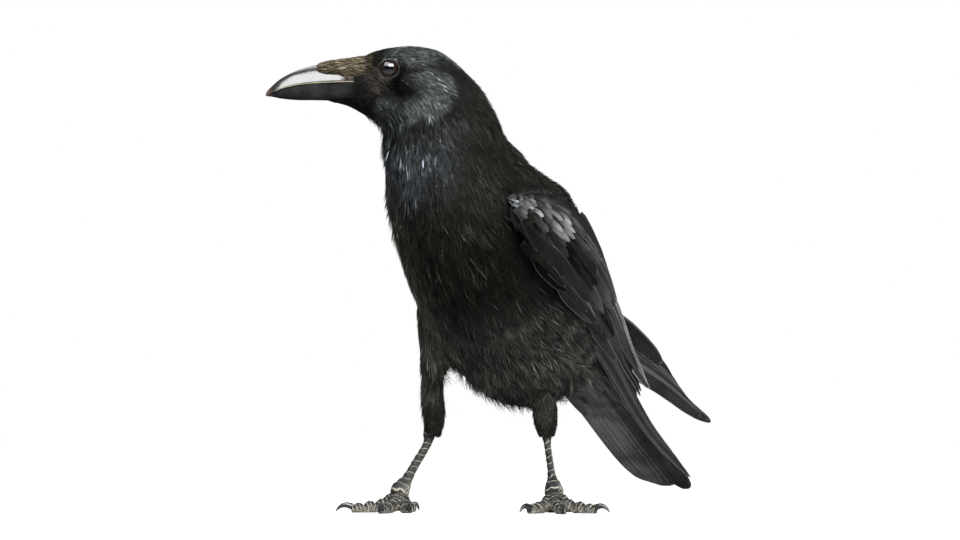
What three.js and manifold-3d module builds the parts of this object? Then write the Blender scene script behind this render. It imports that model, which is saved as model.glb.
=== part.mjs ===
// Carrion crow, adult, standing with its head turned to its right.
// Millimetres, +Z up. The bird faces -X, so its left side is at -Y and its right side at +Y.
// Head, neck, trunk and thighs are lofts through oval sections; wings and tail are curved slabs;
// bill, eyes, shanks, toes and claws are pieces of their own.

import * as THREE from 'three';
import Module from 'manifold-3d';
import { mergeVertices } from 'three/addons/utils/BufferGeometryUtils.js';

const wasm = await Module();
wasm.setup();

// ---------------------------------------------------------------- driving dimensions

const seam = 0.32;                 // clear gap between two pieces that touch
const headTurn = 60;               // degrees the head is turned to the bird's right
const eyePoint = [-87.5, 21.5, 238];   // middle of the head between the two eyes
const bodySides = 20;              // sides of a section of the body
const ringsPerStation = 2;         // loft rings from one station of body, wing or tail to the next
const slabSides = 12;              // sides of a section of wing or tail

const eyeRadius = 6.4;
const eyeInset = 10.6;             // middle of the eyeball from the head's mid-plane
const eyeRise = -0.8;              // and above the line that the head is measured from

const footHeight = 11;             // foot joint above the floor
const shankTop = 40;               // height at which the feathered thigh ends
const toeHeights = [5, 2.1, 1.7];  // middle of a toe at its knuckle, its pad and its end
const clawHeights = [2.2, 4.2, 3.7, 0.9];   // middle of a claw from its root to its tip

// ---------------------------------------------------------------- colours

const paint = {
  plumage: { color: 0x15161a, roughness: 0.6, metalness: 0 },
  flight: { color: 0x2a2c31, roughness: 0.5, metalness: 0 },
  horn: { color: 0x1b1c1f, roughness: 0.3, metalness: 0 },
  eye: { color: 0x140d0a, roughness: 0.05, metalness: 0 },
  scale: { color: 0x3b3833, roughness: 0.55, metalness: 0 },
  claw: { color: 0x17171a, roughness: 0.35, metalness: 0 },
};

// ---------------------------------------------------------------- geometry helpers

const model = new THREE.Group();
const upward = new THREE.Vector3(0, 0, 1);

function radians(degrees) {
  return THREE.MathUtils.degToRad(degrees);
}

// Level direction of a piece with this turn: 0 is the bird's forward, -X, and 90 its right, +Y.
function heading(turn) {
  return new THREE.Vector3(-Math.cos(radians(turn)), Math.sin(radians(turn)), 0);
}

function solidOf(geometry) {
  const bare = geometry.clone();
  bare.deleteAttribute('normal');
  bare.deleteAttribute('uv');
  const merged = mergeVertices(bare, 1e-5);
  return new wasm.Manifold(new wasm.Mesh({
    numProp: 3,
    vertProperties: new Float32Array(merged.attributes.position.array),
    triVerts: new Uint32Array(merged.index.array),
  }));
}

function geometryOf(solid) {
  const mesh = solid.getMesh();
  const geometry = new THREE.BufferGeometry();
  geometry.setAttribute('position', new THREE.BufferAttribute(mesh.vertProperties, 3));
  geometry.setIndex(new THREE.BufferAttribute(mesh.triVerts, 1));
  geometry.computeVertexNormals();
  return geometry;
}

// The largest closed lump of a solid, without the crumbs that a cut can leave.
function mainLump(solid) {
  const lumps = solid.decompose();
  lumps.sort((one, other) => other.volume() - one.volume());
  return lumps[0];
}

function addPart(name, solid, look) {
  const mesh = new THREE.Mesh(geometryOf(mainLump(solid)), new THREE.MeshStandardMaterial(look));
  mesh.name = name;
  model.add(mesh);
}

function signedVolume(geometry) {
  const spot = geometry.attributes.position;
  const corner = (at) => new THREE.Vector3().fromBufferAttribute(spot, geometry.index.getX(at));
  let total = 0;
  for (let at = 0; at < geometry.index.count; at += 3) {
    total += corner(at).dot(corner(at + 1).cross(corner(at + 2)));
  }
  return total / 6;
}

// A ball whose rings are laid through place(along, angle), along from 0 to 1, and whose poles are
// the middles of the first and last ring, so that the result is one closed loft.
function loft(place, rings, sides) {
  const ball = new THREE.SphereGeometry(1, sides, rings + 1);
  const spot = ball.attributes.position;
  const ringPoint = (along, side) => place(along, ((side % sides) / sides) * 2 * Math.PI);
  const middle = (along) => {
    const sum = new THREE.Vector3();
    for (let side = 0; side < sides; side += 1) {
      sum.add(ringPoint(along, side));
    }
    return sum.divideScalar(sides);
  };
  for (let index = 0; index < spot.count; index += 1) {
    const ring = Math.floor(index / (sides + 1));
    const inner = ring > 0 && ring <= rings;
    const along = THREE.MathUtils.clamp((ring - 1) / (rings - 1), 0, 1);
    const point = inner ? ringPoint(along, index % (sides + 1)) : middle(along);
    spot.setXYZ(index, point.x, point.y, point.z);
  }
  if (signedVolume(ball) < 0) {
    const order = ball.index.array;
    for (let at = 0; at < order.length; at += 3) {
      [order[at], order[at + 1]] = [order[at + 1], order[at]];
    }
  }
  return solidOf(ball);
}

// Smooth curve through one list of numbers for each station.
function track(rows) {
  const columns = rows[0].map((unused, column) => rows.map((row) => row[column]));
  const curves = columns.map((column) => new THREE.CatmullRomCurve3(
    column.map((value) => new THREE.Vector3(value, 0, 0)), false, 'catmullrom', 0.5));
  return (along) => curves.map((curve) => curve.getPoint(along).x);
}

function rounded(value, square) {
  return Math.sign(value) * Math.abs(value) ** (2 / square);
}

// Loft through stations { low, high, half, turn, square, sag }: low and high are the middle of the
// underside and of the back, half is the half-width, turn says which way the section faces, square
// is 2 for an oval and more for a fuller one, and sag moves the widest part down.
function bodyLoft(stations, from, to, grow) {
  const follow = track(stations.map((at) => [
    ...at.low, ...at.high, at.half, at.turn ?? 0, at.square ?? 2.15, at.sag ?? 0,
  ]));
  const last = stations.length - 1;
  const place = (along, angle) => {
    const row = follow((from + (to - from) * along) / last);
    const low = new THREE.Vector3(row[0], row[1], row[2]);
    const high = new THREE.Vector3(row[3], row[4], row[5]);
    const axis = high.clone().sub(low).multiplyScalar(0.5);
    const tall = axis.length();
    const side = heading(row[7] + 90);
    const rise = rounded(Math.cos(angle), row[8]);
    const reach = rounded(Math.sin(angle), row[8]);
    const middle = low.add(high).multiplyScalar(0.5);
    middle.addScaledVector(axis, (rise * (tall + grow)) / tall - row[9] * reach * reach);
    return middle.addScaledVector(side, reach * (row[6] + grow));
  };
  const rings = Math.max(3, Math.round((to - from) * ringsPerStation) + 1);
  return loft(place, rings, bodySides);
}

function mirrored(solid) {
  return solid.mirror([0, 1, 0]);
}

// ---------------------------------------------------------------- head, neck and trunk

const eyeMiddle = new THREE.Vector3(...eyePoint);

// Point of the head's mid-plane, from the middle between the eyes.
function headPoint(forward, rise) {
  return eyeMiddle.clone().addScaledVector(heading(headTurn), forward).addScaledVector(upward, rise)
    .toArray();
}

const body = [
  { low: [96, 0, 76], high: [101, 0, 86], half: 9 },
  { low: [77, 0, 72], high: [90, 0, 100], half: 19 },
  { low: [50, 0, 63], high: [77, 0, 118], half: 30 },
  { low: [22, 0, 58], high: [64, 0, 140], half: 39 },
  { low: [-8, 0, 66], high: [47, 0, 162], half: 44 },
  { low: [-35, 0, 86], high: [26, 0, 180], half: 45.5 },
  { low: [-59, 0, 110], high: [5, 0, 193], half: 45, turn: 2 },
  { low: [-81, 1, 137], high: [-17, -2, 200], half: 41, turn: 8 },
  { low: [-95, 6, 163], high: [-36, -8, 206], half: 36.5, turn: 20 },
  { low: [-98, 15, 184], high: [-49, -18, 215], half: 33.5, turn: 34, square: 2 },
  { low: headPoint(2.2, -35), high: headPoint(-50, -13.5), half: 28.5, turn: 48, square: 2 },
  { low: headPoint(4.2, -31.5), high: headPoint(-45, -5), half: 24.5, turn: 56, square: 2 },
  { low: headPoint(6.4, -28.5), high: headPoint(-35.5, 3.5), half: 21.5, turn: 60, square: 2.1 },
  { low: headPoint(9.4, -27), high: headPoint(-24.5, 10.3), half: 19.8, turn: 60, square: 2.2 },
  { low: headPoint(13, -25), high: headPoint(-11, 12.4), half: 18.4, turn: 60, square: 2.3 },
  { low: headPoint(17, -22.5), high: headPoint(2.3, 11.2), half: 16.6, turn: 60, square: 2.3 },
  { low: headPoint(21, -20.5), high: headPoint(14.6, 7.4), half: 12.5, turn: 60, square: 2.3 },
  { low: headPoint(25.5, -18.3), high: headPoint(24.5, 4.8), half: 9.2, turn: 60, square: 2.3 },
];
const neckStart = 7.6;             // station at which the trunk gives way to the neck
const headStart = 11.3;            // station at which the neck gives way to the head
const seamStep = 0.045;            // seam as a share of one station

function bodyPiece(from, to, grow = 0) {
  return bodyLoft(body, from, to, grow);
}

const lastStation = body.length - 1;
const wholeBody = bodyPiece(0, lastStation, seam);

// ---------------------------------------------------------------- bill

// Stations from the tip to the base: forward of the eye, top, bottom and half-width.
const upperBill = [
  { forward: 65.6, top: -13.2, bottom: -14.4, half: 0.5 },
  { forward: 63, top: -9.8, bottom: -13.2, half: 1.7 },
  { forward: 58, top: -5.8, bottom: -11.2, half: 3.1 },
  { forward: 49.5, top: -0.9, bottom: -9.2, half: 4.8 },
  { forward: 39, top: 2.5, bottom: -7.9, half: 6.3 },
  { forward: 29, top: 4.6, bottom: -7.6, half: 7.6 },
  { forward: 18, top: 4.6, bottom: -7.8, half: 9.2 },
];
const lowerBill = [
  { forward: 62.2, top: -13.4, bottom: -14.6, half: 0.7 },
  { forward: 57.5, top: -11.4, bottom: -15.8, half: 2.4 },
  { forward: 49.5, top: -9.4, bottom: -16.4, half: 4 },
  { forward: 39, top: -8.1, bottom: -16.4, half: 5.5 },
  { forward: 29, top: -7.8, bottom: -16.6, half: 6.9 },
  { forward: 18, top: -8, bottom: -17, half: 8.8 },
];

function billLoft(stations, ridge) {
  const follow = track(stations.map((at) => [at.forward, at.top, at.bottom, at.half]));
  const side = heading(headTurn + 90);
  const place = (along, angle) => {
    const [forward, top, bottom, half] = follow(along);
    const rise = rounded(Math.cos(angle), 1.9);
    const reach = rounded(Math.sin(angle), 1.9);
    // The widest line lies at the cutting edge: low on the upper bill, high on the lower one.
    const edge = ridge ? bottom + 0.12 * (top - bottom) : top - 0.12 * (top - bottom);
    const height = rise > 0 ? edge + rise * (top - edge) : edge + rise * (edge - bottom);
    return new THREE.Vector3(...headPoint(forward, height)).addScaledVector(side, reach * half);
  };
  return loft(place, 12, 14);
}

// Bristles that cover the root of the upper bill, and the feathered chin below it.
function nasalTuft(grow) {
  const follow = track([
    [39, 3.2 + grow, -2.6 - grow, 5.4 + grow],
    [31, 4.9 + grow, -4.8 - grow, 8.2 + grow],
    [22, 6 + grow, -5.6 - grow, 9.8 + grow],
    [8, 8 + grow, -5.6 - grow, 11.5 + grow],
  ]);
  const side = heading(headTurn + 90);
  const place = (along, angle) => {
    const [forward, top, bottom, half] = follow(along);
    const height = (top + bottom) / 2 + (Math.cos(angle) * (top - bottom)) / 2;
    return new THREE.Vector3(...headPoint(forward + (along === 0 ? grow : 0), height))
      .addScaledVector(side, Math.sin(angle) * half);
  };
  return loft(place, 5, 12);
}

function chinTuft(grow) {
  const follow = track([
    [39, -14.6 + grow, -16.8 - grow, 2.6 + grow],
    [30, -13.6 + grow, -17.9 - grow, 5.6 + grow],
    [18, -12.6 + grow, -20.6 - grow, 8.4 + grow],
  ]);
  const side = heading(headTurn + 90);
  const place = (along, angle) => {
    const [forward, top, bottom, half] = follow(along);
    const height = (top + bottom) / 2 + (Math.cos(angle) * (top - bottom)) / 2;
    return new THREE.Vector3(...headPoint(forward + (along === 0 ? grow : 0), height))
      .addScaledVector(side, Math.sin(angle) * half);
  };
  return loft(place, 5, 12);
}

// ---------------------------------------------------------------- eyes

function eyeball(sideTurn, radius) {
  const centre = eyeMiddle.clone().addScaledVector(heading(headTurn + sideTurn), eyeInset);
  centre.z += eyeRise;
  const ball = new THREE.SphereGeometry(radius, 14, 10);
  ball.translate(centre.x, centre.y, centre.z);
  return solidOf(ball);
}

// ---------------------------------------------------------------- wings and tail

// Slab through stations { at, up, down, half, lean, roll, camber }: at is the middle of a section,
// lean tips its up direction back, roll tips it in towards the mid-plane, up and down are its
// reach to both edges, half is half its thickness and camber bends it outwards.
function slab(stations, grow) {
  const follow = track(stations.map((at) => [
    ...at.at, at.up, at.down, at.half, at.lean, at.roll, at.camber,
  ]));
  const place = (along, angle) => {
    const [x, y, z, above, below, half, lean, roll, camber] = follow(along);
    const rise = rounded(Math.cos(angle), 2.6);
    const across = rounded(Math.sin(angle), 2.6);
    const out = new THREE.Vector3(0, -Math.cos(radians(roll)), Math.sin(radians(roll)));
    const back = new THREE.Vector3(0, Math.sin(radians(roll)), Math.cos(radians(roll)));
    back.applyAxisAngle(new THREE.Vector3(0, 1, 0), radians(lean));
    out.applyAxisAngle(new THREE.Vector3(0, 1, 0), radians(lean));
    const reach = rise > 0 ? rise * (above + grow) : rise * (below + grow);
    const bend = camber * (1 - rise * rise);
    return new THREE.Vector3(x, y, z).addScaledVector(back, reach)
      .addScaledVector(out, across * (half + grow) + bend);
  };
  return loft(place, (stations.length - 1) * ringsPerStation + 1, slabSides);
}

const leftWing = [
  { at: [-64, -31, 171], up: 7, down: 8, half: 5, lean: 40, roll: 30, camber: 2 },
  { at: [-58, -32, 168], up: 18, down: 17, half: 8, lean: 38, roll: 30, camber: 4 },
  { at: [-38, -33, 161], up: 30, down: 26, half: 9, lean: 34, roll: 31, camber: 8.5 },
  { at: [-8, -33, 148], up: 37, down: 30, half: 9, lean: 30, roll: 33, camber: 12 },
  { at: [24, -32, 130], up: 37, down: 27, half: 8.5, lean: 28, roll: 35, camber: 12 },
  { at: [56, -27, 110], up: 29, down: 22, half: 7, lean: 27, roll: 38, camber: 9 },
  { at: [86, -21, 90], up: 20, down: 15, half: 4.5, lean: 27, roll: 42, camber: 6 },
  { at: [112, -18, 73], up: 12, down: 9, half: 2.4, lean: 27, roll: 45, camber: 3 },
  { at: [130, -16, 61], up: 4, down: 4, half: 1.2, lean: 27, roll: 45, camber: 1 },
];
// The right wing is tucked further back and in, under the feathers at the side of the breast.
const rightWingTuck = [11, -4, 0];
const leftPrimaries = [
  { at: [25, -36, 101], up: 8, down: 6, half: 1.6, lean: 27, roll: 15, camber: 1 },
  { at: [60, -31, 84], up: 13, down: 9, half: 2.2, lean: 27, roll: 18, camber: 2 },
  { at: [95, -24, 66], up: 13, down: 10, half: 2.2, lean: 27, roll: 22, camber: 2 },
  { at: [130, -19, 48], up: 10, down: 9, half: 1.9, lean: 27, roll: 26, camber: 1.5 },
  { at: [165, -17, 31.5], up: 7, down: 6, half: 1.4, lean: 27, roll: 28, camber: 1 },
  { at: [192, -16, 18.5], up: 2.4, down: 2.2, half: 0.8, lean: 27, roll: 28, camber: 0.4 },
];
// The right wing's tips cross the mid-plane above the tail.
const rightPrimaries = [
  { at: [30, -34, 117], up: 8, down: 6, half: 1.6, lean: 26, roll: 20, camber: 1 },
  { at: [65, -23, 108], up: 13, down: 10, half: 2.2, lean: 26, roll: 26, camber: 2 },
  { at: [102, -4, 100], up: 15, down: 13, half: 2.2, lean: 26, roll: 30, camber: 2 },
  { at: [138, 9, 84], up: 12, down: 13, half: 2, lean: 26, roll: 28, camber: 2 },
  { at: [172, 12.5, 70], up: 8.5, down: 9, half: 1.7, lean: 26, roll: 26, camber: 1.5 },
  { at: [206, 11, 57], up: 5, down: 5, half: 1.2, lean: 26, roll: 26, camber: 1 },
  { at: [231, 10.5, 49.5], up: 1.6, down: 1.4, half: 0.7, lean: 26, roll: 26, camber: 0.2 },
];
// The tail is a slab rolled flat: its up direction lies across the bird.
const tail = [
  { at: [66, 2.5, 92], up: 13, down: 12, half: 5, lean: 28, roll: 90, camber: 0 },
  { at: [100, 4, 75], up: 17, down: 15, half: 3.6, lean: 28, roll: 90, camber: 2 },
  { at: [140, 6, 53.5], up: 20, down: 17, half: 2.2, lean: 28, roll: 90, camber: 3 },
  { at: [180, 8, 31.5], up: 21, down: 18, half: 1.7, lean: 28, roll: 90, camber: 3 },
  { at: [206, 9, 17.5], up: 19, down: 17, half: 1.3, lean: 28, roll: 90, camber: 3 },
  { at: [222, 9, 9.5], up: 13, down: 13, half: 0.9, lean: 28, roll: 90, camber: 2 },
];

// ---------------------------------------------------------------- legs

const legs = [
  {
    side: 'right',
    root: [-12, 29, 108],
    knee: [-16, 36.5, 80],
    ankle: [-12, 39, shankTop],
    foot: [-39, 44.5, footHeight],
    thighHalf: [23, 18, 10.5, 7.3, 6.6, 4.8],
    toes: [
      { name: 'outer', turn: 53, length: 26 },
      { name: 'middle', turn: -14, length: 33 },
      { name: 'inner', turn: -45, length: 22 },
      { name: 'hind', turn: 172, length: 19 },
    ],
  },
  {
    side: 'left',
    root: [18, -14, 84],
    knee: [10, -19, 60],
    ankle: [9, -21, shankTop],
    foot: [-8, -35, footHeight],
    thighHalf: [18, 12, 7.6, 6.3, 6, 4.6],
    toes: [
      { name: 'inner', turn: 8, length: 22 },
      { name: 'middle', turn: -37, length: 33 },
      { name: 'outer', turn: -88, length: 26 },
      { name: 'hind', turn: 145, length: 19 },
    ],
  },
];
const shankHalf = [3.5, 3.3, 2.3, 2.2, 2.3, 2.6, 4.2];
const toeHalf = [3.1, 2.7, 2.9, 2.5, 2.7, 2.3, 2.2];
const clawLength = 11;
const clawHalf = [1.9, 1.75, 1.4, 0.9, 0.3];

// Tube along points, with a radius for each of its stretches.
function limb(points, halves, sides, rings, grow = 0) {
  const path = new THREE.CatmullRomCurve3(points, false, 'centripetal');
  const follow = track(halves.map((half) => [half]));
  const place = (along, angle) => {
    const tangent = path.getTangent(along);
    const side = new THREE.Vector3(0.31, 0.95, 0).cross(tangent).normalize();
    const other = new THREE.Vector3().crossVectors(tangent, side);
    const [half] = follow(along);
    return path.getPoint(along).addScaledVector(side, (half + grow) * Math.cos(angle))
      .addScaledVector(other, (half + grow) * Math.sin(angle));
  };
  return loft(place, rings, sides);
}

function toVector(list) {
  return new THREE.Vector3(...list);
}

function thigh(leg, grow) {
  const points = [leg.root, leg.knee, leg.ankle].map(toVector);
  const short = points[2].clone();
  short.z += grow;
  return limb([points[0], points[1], short], leg.thighHalf, 14, 9, grow);
}

function shank(leg, grow) {
  const ankle = toVector(leg.ankle);
  const foot = toVector(leg.foot);
  const top = ankle.clone().add(new THREE.Vector3(0, 0, 5));
  const bend = ankle.clone().lerp(foot, 0.06);
  return limb([top, bend, ankle.clone().lerp(foot, 0.5), foot], shankHalf, 10, 9, grow);
}

const floorBox = new THREE.BoxGeometry(500, 500, 40);
floorBox.translate(0, 0, -20);
const belowFloor = solidOf(floorBox);

// A toe leaves the foot joint, arches down and lies on its pads, with the claw curved beyond it.
function toeEnd(leg, toe) {
  return toVector(leg.foot).addScaledVector(heading(toe.turn), toe.length);
}

function toeSolid(leg, toe, grow) {
  const foot = toVector(leg.foot);
  const ahead = heading(toe.turn);
  const spot = (share, height) => foot.clone().addScaledVector(ahead, toe.length * share)
    .setZ(height);
  const first = toe.name === 'hind' ? 5.5 : footHeight - 3.4;
  const [knuckle, pad, end] = toeHeights;
  const points = [spot(0.02, first), spot(0.3, knuckle), spot(0.58, pad), spot(1, end)];
  return limb(points, toeHalf, 8, 9, grow);
}

function clawSolid(leg, toe, grow) {
  const ahead = heading(toe.turn);
  const start = toeEnd(leg, toe).addScaledVector(ahead, -2.2);
  const spot = (share, height) => start.clone().addScaledVector(ahead, clawLength * share)
    .setZ(height);
  const [root, arch, fall, tip] = clawHeights;
  const points = [spot(0, root), spot(0.4, arch), spot(0.75, fall), spot(1, tip)];
  return limb(points, clawHalf, 7, 6, grow);
}

// ---------------------------------------------------------------- assembly

function rightWing(grow) {
  return mirrored(slab(leftWing, grow)).translate(rightWingTuck);
}

const upperBillSolid = billLoft(upperBill, true);
const lowerBillSolid = billLoft(lowerBill, false);
const headCover = bodyPiece(headStart, lastStation, seam).add(nasalTuft(seam)).add(chinTuft(seam));
const headSolid = bodyPiece(headStart + seamStep, lastStation).add(nasalTuft(0)).add(chinTuft(0))
  .subtract(eyeball(90, eyeRadius + seam)).subtract(eyeball(-90, eyeRadius + seam));

addPart('head', headSolid, paint.plumage);
addPart('bill_upper', upperBillSolid.subtract(headCover), paint.horn);
addPart('bill_lower', lowerBillSolid.subtract(headCover), paint.horn);
addPart('eye_left', eyeball(-90, eyeRadius), paint.eye);
addPart('eye_right', eyeball(90, eyeRadius), paint.eye);
addPart('neck', bodyPiece(neckStart + seamStep, headStart), paint.plumage);
addPart('trunk', bodyPiece(0, neckStart), paint.plumage);

const tailCover = slab(tail, seam);
const leftPrimariesCover = slab(leftPrimaries, seam);
const rightPrimariesCover = mirrored(slab(rightPrimaries, seam));
addPart('tail', slab(tail, 0).subtract(wholeBody), paint.flight);
addPart('primaries_left', slab(leftPrimaries, 0).subtract(wholeBody).subtract(tailCover),
  paint.flight);
addPart('primaries_right', mirrored(slab(rightPrimaries, 0)).subtract(wholeBody)
  .subtract(tailCover).subtract(leftPrimariesCover), paint.flight);

const leftWingCover = slab(leftWing, seam);
const flightCover = wholeBody.add(tailCover).add(leftPrimariesCover).add(rightPrimariesCover);
addPart('wing_left', slab(leftWing, 0).subtract(flightCover), paint.flight);
addPart('wing_right', rightWing(0).subtract(flightCover).subtract(leftWingCover), paint.flight);

for (const leg of legs) {
  const shankCover = shank(leg, seam);
  addPart(`thigh_${leg.side}`, thigh(leg, 0).subtract(wholeBody).subtract(shankCover)
    .subtract(leftWingCover).subtract(rightWing(seam)), paint.plumage);
  addPart(`shank_${leg.side}`, shank(leg, 0), paint.scale);
  let taken = shankCover.add(belowFloor);
  for (const toe of leg.toes) {
    addPart(`toe_${toe.name}_${leg.side}`, toeSolid(leg, toe, 0).subtract(taken), paint.scale);
    taken = taken.add(toeSolid(leg, toe, seam));
  }
  for (const toe of leg.toes) {
    addPart(`claw_${toe.name}_${leg.side}`, clawSolid(leg, toe, 0).subtract(taken), paint.claw);
  }
}

// The origin is the middle of the box round the bird, at the floor.
const box = new THREE.Box3().setFromObject(model);
const centre = box.getCenter(new THREE.Vector3());
model.position.set(-centre.x, -centre.y, -box.min.z);

export default model;
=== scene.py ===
"""Carrion crow, life size and standing still: skin, feather coat, flight feathers, bill, eyes and feet.

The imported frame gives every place. Lengths written in millimetres are turned into metres by MM.
The bird faces -X, its left side is at -Y, and its head is turned to its right.
"""

import math
from dataclasses import dataclass

import bmesh
import bpy
import numpy as np
from bpy.props import FloatProperty, FloatVectorProperty, IntProperty, PointerProperty
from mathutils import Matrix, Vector
from mathutils.bvhtree import BVHTree


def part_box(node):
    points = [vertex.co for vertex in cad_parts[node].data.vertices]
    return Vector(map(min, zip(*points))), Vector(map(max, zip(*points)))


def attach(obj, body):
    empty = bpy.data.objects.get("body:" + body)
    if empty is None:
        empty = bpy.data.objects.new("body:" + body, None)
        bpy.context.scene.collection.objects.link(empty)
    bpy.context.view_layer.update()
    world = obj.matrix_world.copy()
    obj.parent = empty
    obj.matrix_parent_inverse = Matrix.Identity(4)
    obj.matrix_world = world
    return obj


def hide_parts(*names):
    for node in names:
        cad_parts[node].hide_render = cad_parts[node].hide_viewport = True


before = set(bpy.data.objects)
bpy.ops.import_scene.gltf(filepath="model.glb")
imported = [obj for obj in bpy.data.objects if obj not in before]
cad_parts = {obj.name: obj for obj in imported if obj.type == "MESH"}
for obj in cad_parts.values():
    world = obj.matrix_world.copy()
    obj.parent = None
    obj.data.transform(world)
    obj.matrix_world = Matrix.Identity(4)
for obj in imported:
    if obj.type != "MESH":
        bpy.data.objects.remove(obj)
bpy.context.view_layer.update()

bl_info = {
    "name": "Carrion Crow",
    "version": (1, 0, 0),
    "blender": (4, 5, 0),
    "location": "3D View > Sidebar > Crow",
    "description": "Feather coat, bill, eyes and feet of a life-size carrion crow",
    "category": "Add Mesh",
}

MM = 0.001
BAKE_MAP = "OFBake"
VANE_MAP = "vane"
PATCH = 0.003                      # width of a tuft's patch on the bake map
SEED = 1747
CELL_PRIMES = np.array((73856093, 19349663, 83492791))   # turn a cell's three numbers into one key

# Places in millimetres, from the trunk's middle on the floor: the eye fixes where that is.
EYE_LEFT = np.array((-96.68, 16.2, 237.2))
HEAD_MIDDLE = np.array((-87.5, 21.5, 238.0))
HEAD_FORWARD = np.array((-0.5, 0.8660254, 0.0))
UP = np.array((0.0, 0.0, 1.0))
HEAD_LEFT = np.cross(UP, HEAD_FORWARD)


def box_middle(node):
    """Middle of a node's box, in metres."""
    low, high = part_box(node)
    return (np.array(low) + np.array(high)) / 2


ORIGIN = box_middle("eye_left") - EYE_LEFT * MM


def place(point):
    """Millimetres from the trunk's middle to metres in the frame."""
    return np.asarray(point) * MM + ORIGIN


def to_mm(points):
    """Metres in the frame to millimetres from the trunk's middle."""
    return (points - ORIGIN) / MM


def head_point(forward, rise, aside=0.0):
    """Point of the head in millimetres: forward and up from between the eyes, and to its left."""
    return HEAD_MIDDLE + forward * HEAD_FORWARD + rise * UP + aside * HEAD_LEFT


def smooth_step(low, high, value):
    """0 below low, 1 above high, and an even rise between them."""
    share = np.clip((value - low) / (high - low), 0, 1)
    return share * share * (3 - 2 * share)


def unit_rows(arrows):
    """The arrows, one a row, each with a length of 1."""
    return arrows / np.linalg.norm(arrows, axis=1)[:, None]


def along_surface(arrows, normals):
    """The arrows laid flat on the surface, each with a length of 1."""
    flat = arrows - normals * (arrows * normals).sum(axis=1)[:, None]
    return flat / np.maximum(np.linalg.norm(flat, axis=1), 1e-6)[:, None]


# ------------------------------------------------------------------ settings

def depth_setting(name, text, millimetres):
    return FloatProperty(name=name, description=text, default=millimetres * MM, unit="LENGTH")


def number_setting(name, text, number):
    return IntProperty(name=name, description=text, default=number)


def colour_setting(name, text, colour):
    return FloatVectorProperty(name=name, description=text, default=colour, subtype="COLOR", size=3)


class CoatSettings(bpy.types.PropertyGroup):
    """Sizes and numbers of the body's feathers."""

    skin_detail: depth_setting("Skin detail", "Edge length of the skin's mesh", 1.5)
    coat_depth: depth_setting("Coat depth", "How far the body's skin lies under the feather tips", 2.2)
    face_depth: depth_setting("Face coat depth", "How far the face's skin lies under the feather tips", 0.8)
    face_tufts: number_setting("Face tufts", "Small tufts of face and chin", 12500)
    head_tufts: number_setting("Head tufts", "Tufts of crown, nape and ear coverts", 12500)
    # Black tufts of the painted shadow below and behind the eyes, with almost no gloss.
    eye_shadow_tufts: number_setting("Hollow tufts", "Small black tufts below and behind the eyes", 2400)
    bristles: number_setting("Bristles", "Bristles over the bill's root", 3600)
    neck_tufts: number_setting("Neck tufts", "Hair-like feathers on the neck", 9500)
    hackles: number_setting("Hackles", "Pointed feathers of the throat", 2600)
    body_feathers: number_setting("Body feathers", "Feathers of breast, belly and back", 4900)
    leg_tufts: number_setting("Leg tufts", "Short feathers of the thighs", 3800)
    wisps: number_setting("Wisps", "Loose feathers along the belly's lower edge", 700)
    hairs: number_setting("Pale hairs", "Fine pale barbs over breast and belly", 1500)


class ColourSettings(bpy.types.PropertyGroup):
    """Colours of the finishes."""

    plumage: colour_setting("Plumage", "Deep colour of the body feathers", (0.0042, 0.0044, 0.0032))
    # A painted blue-grey sheen, laid on crown, cheeks and ear coverts as their colour.
    painted_slate_sheen: colour_setting("Slate sheen", "Colour of crown and ear coverts", (0.052, 0.060, 0.060))
    throat: colour_setting("Throat", "Colour of the throat hackles", (0.022, 0.025, 0.029))
    brown: colour_setting("Brown tone", "Colour of nape, lores and thighs", (0.0145, 0.0135, 0.0108))
    belly: colour_setting("Belly", "Colour of the softer belly feathers", (0.048, 0.051, 0.044))
    bristle: colour_setting("Nose bristles", "Colour of the bristles at the bill", (0.15, 0.125, 0.078))
    bill: colour_setting("Bill horn", "Colour of the bill", (0.010, 0.010, 0.011))
    # Pale rim colour of flight and tail feathers: partly wear, partly a painted highlight where the edges
    # catch the light.
    edge_wear_and_glint: colour_setting("Worn edge", "Pale worn rim of a flight feather", (0.60, 0.575, 0.555))
    floor: colour_setting("Floor", "Colour of the studio floor", (0.3, 0.3, 0.3))


def coat():
    return bpy.context.scene.crow_coat


def colours():
    return bpy.context.scene.crow_colours


# ------------------------------------------------------------------ pieces

def finish_piece(piece, replaced=(), look=None):
    """Puts a piece in the scene, on the one body, with its finish in its slot, and hides the nodes it stands
    for.
    """
    if look:
        piece.data.materials.clear()
        piece.data.materials.append(look)
    if piece.name not in bpy.context.scene.collection.objects:
        bpy.context.scene.collection.objects.link(piece)
    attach(piece, "root")
    if replaced:
        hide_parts(*replaced)
    return piece


def shade_smooth(mesh):
    mesh.polygons.foreach_set("use_smooth", np.ones(len(mesh.polygons), dtype=bool))


def shape_piece(shape, name, replaced, look):
    """Finished piece from a bmesh, which is freed."""
    mesh = bpy.data.meshes.new(name)
    shape.to_mesh(mesh)
    shape.free()
    shade_smooth(mesh)
    return finish_piece(bpy.data.objects.new(name, mesh), replaced, look)


def vector_array(mesh, key):
    """Places ("co") or normals ("normal") of a mesh's vertices, one a row."""
    values = np.empty(len(mesh.vertices) * 3)
    mesh.vertices.foreach_get(key, values)
    return values.reshape(-1, 3)


def move_vertices(mesh, spots):
    mesh.vertices.foreach_set("co", spots.astype(np.float32).ravel())
    mesh.update()


def smooth_shape(shape, verts, rounds):
    """Evens out some vertices of a bmesh."""
    for unused in range(rounds):
        bmesh.ops.smooth_vert(shape, verts=verts, factor=0.5, use_axis_x=True, use_axis_y=True,
                              use_axis_z=True)


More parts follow.
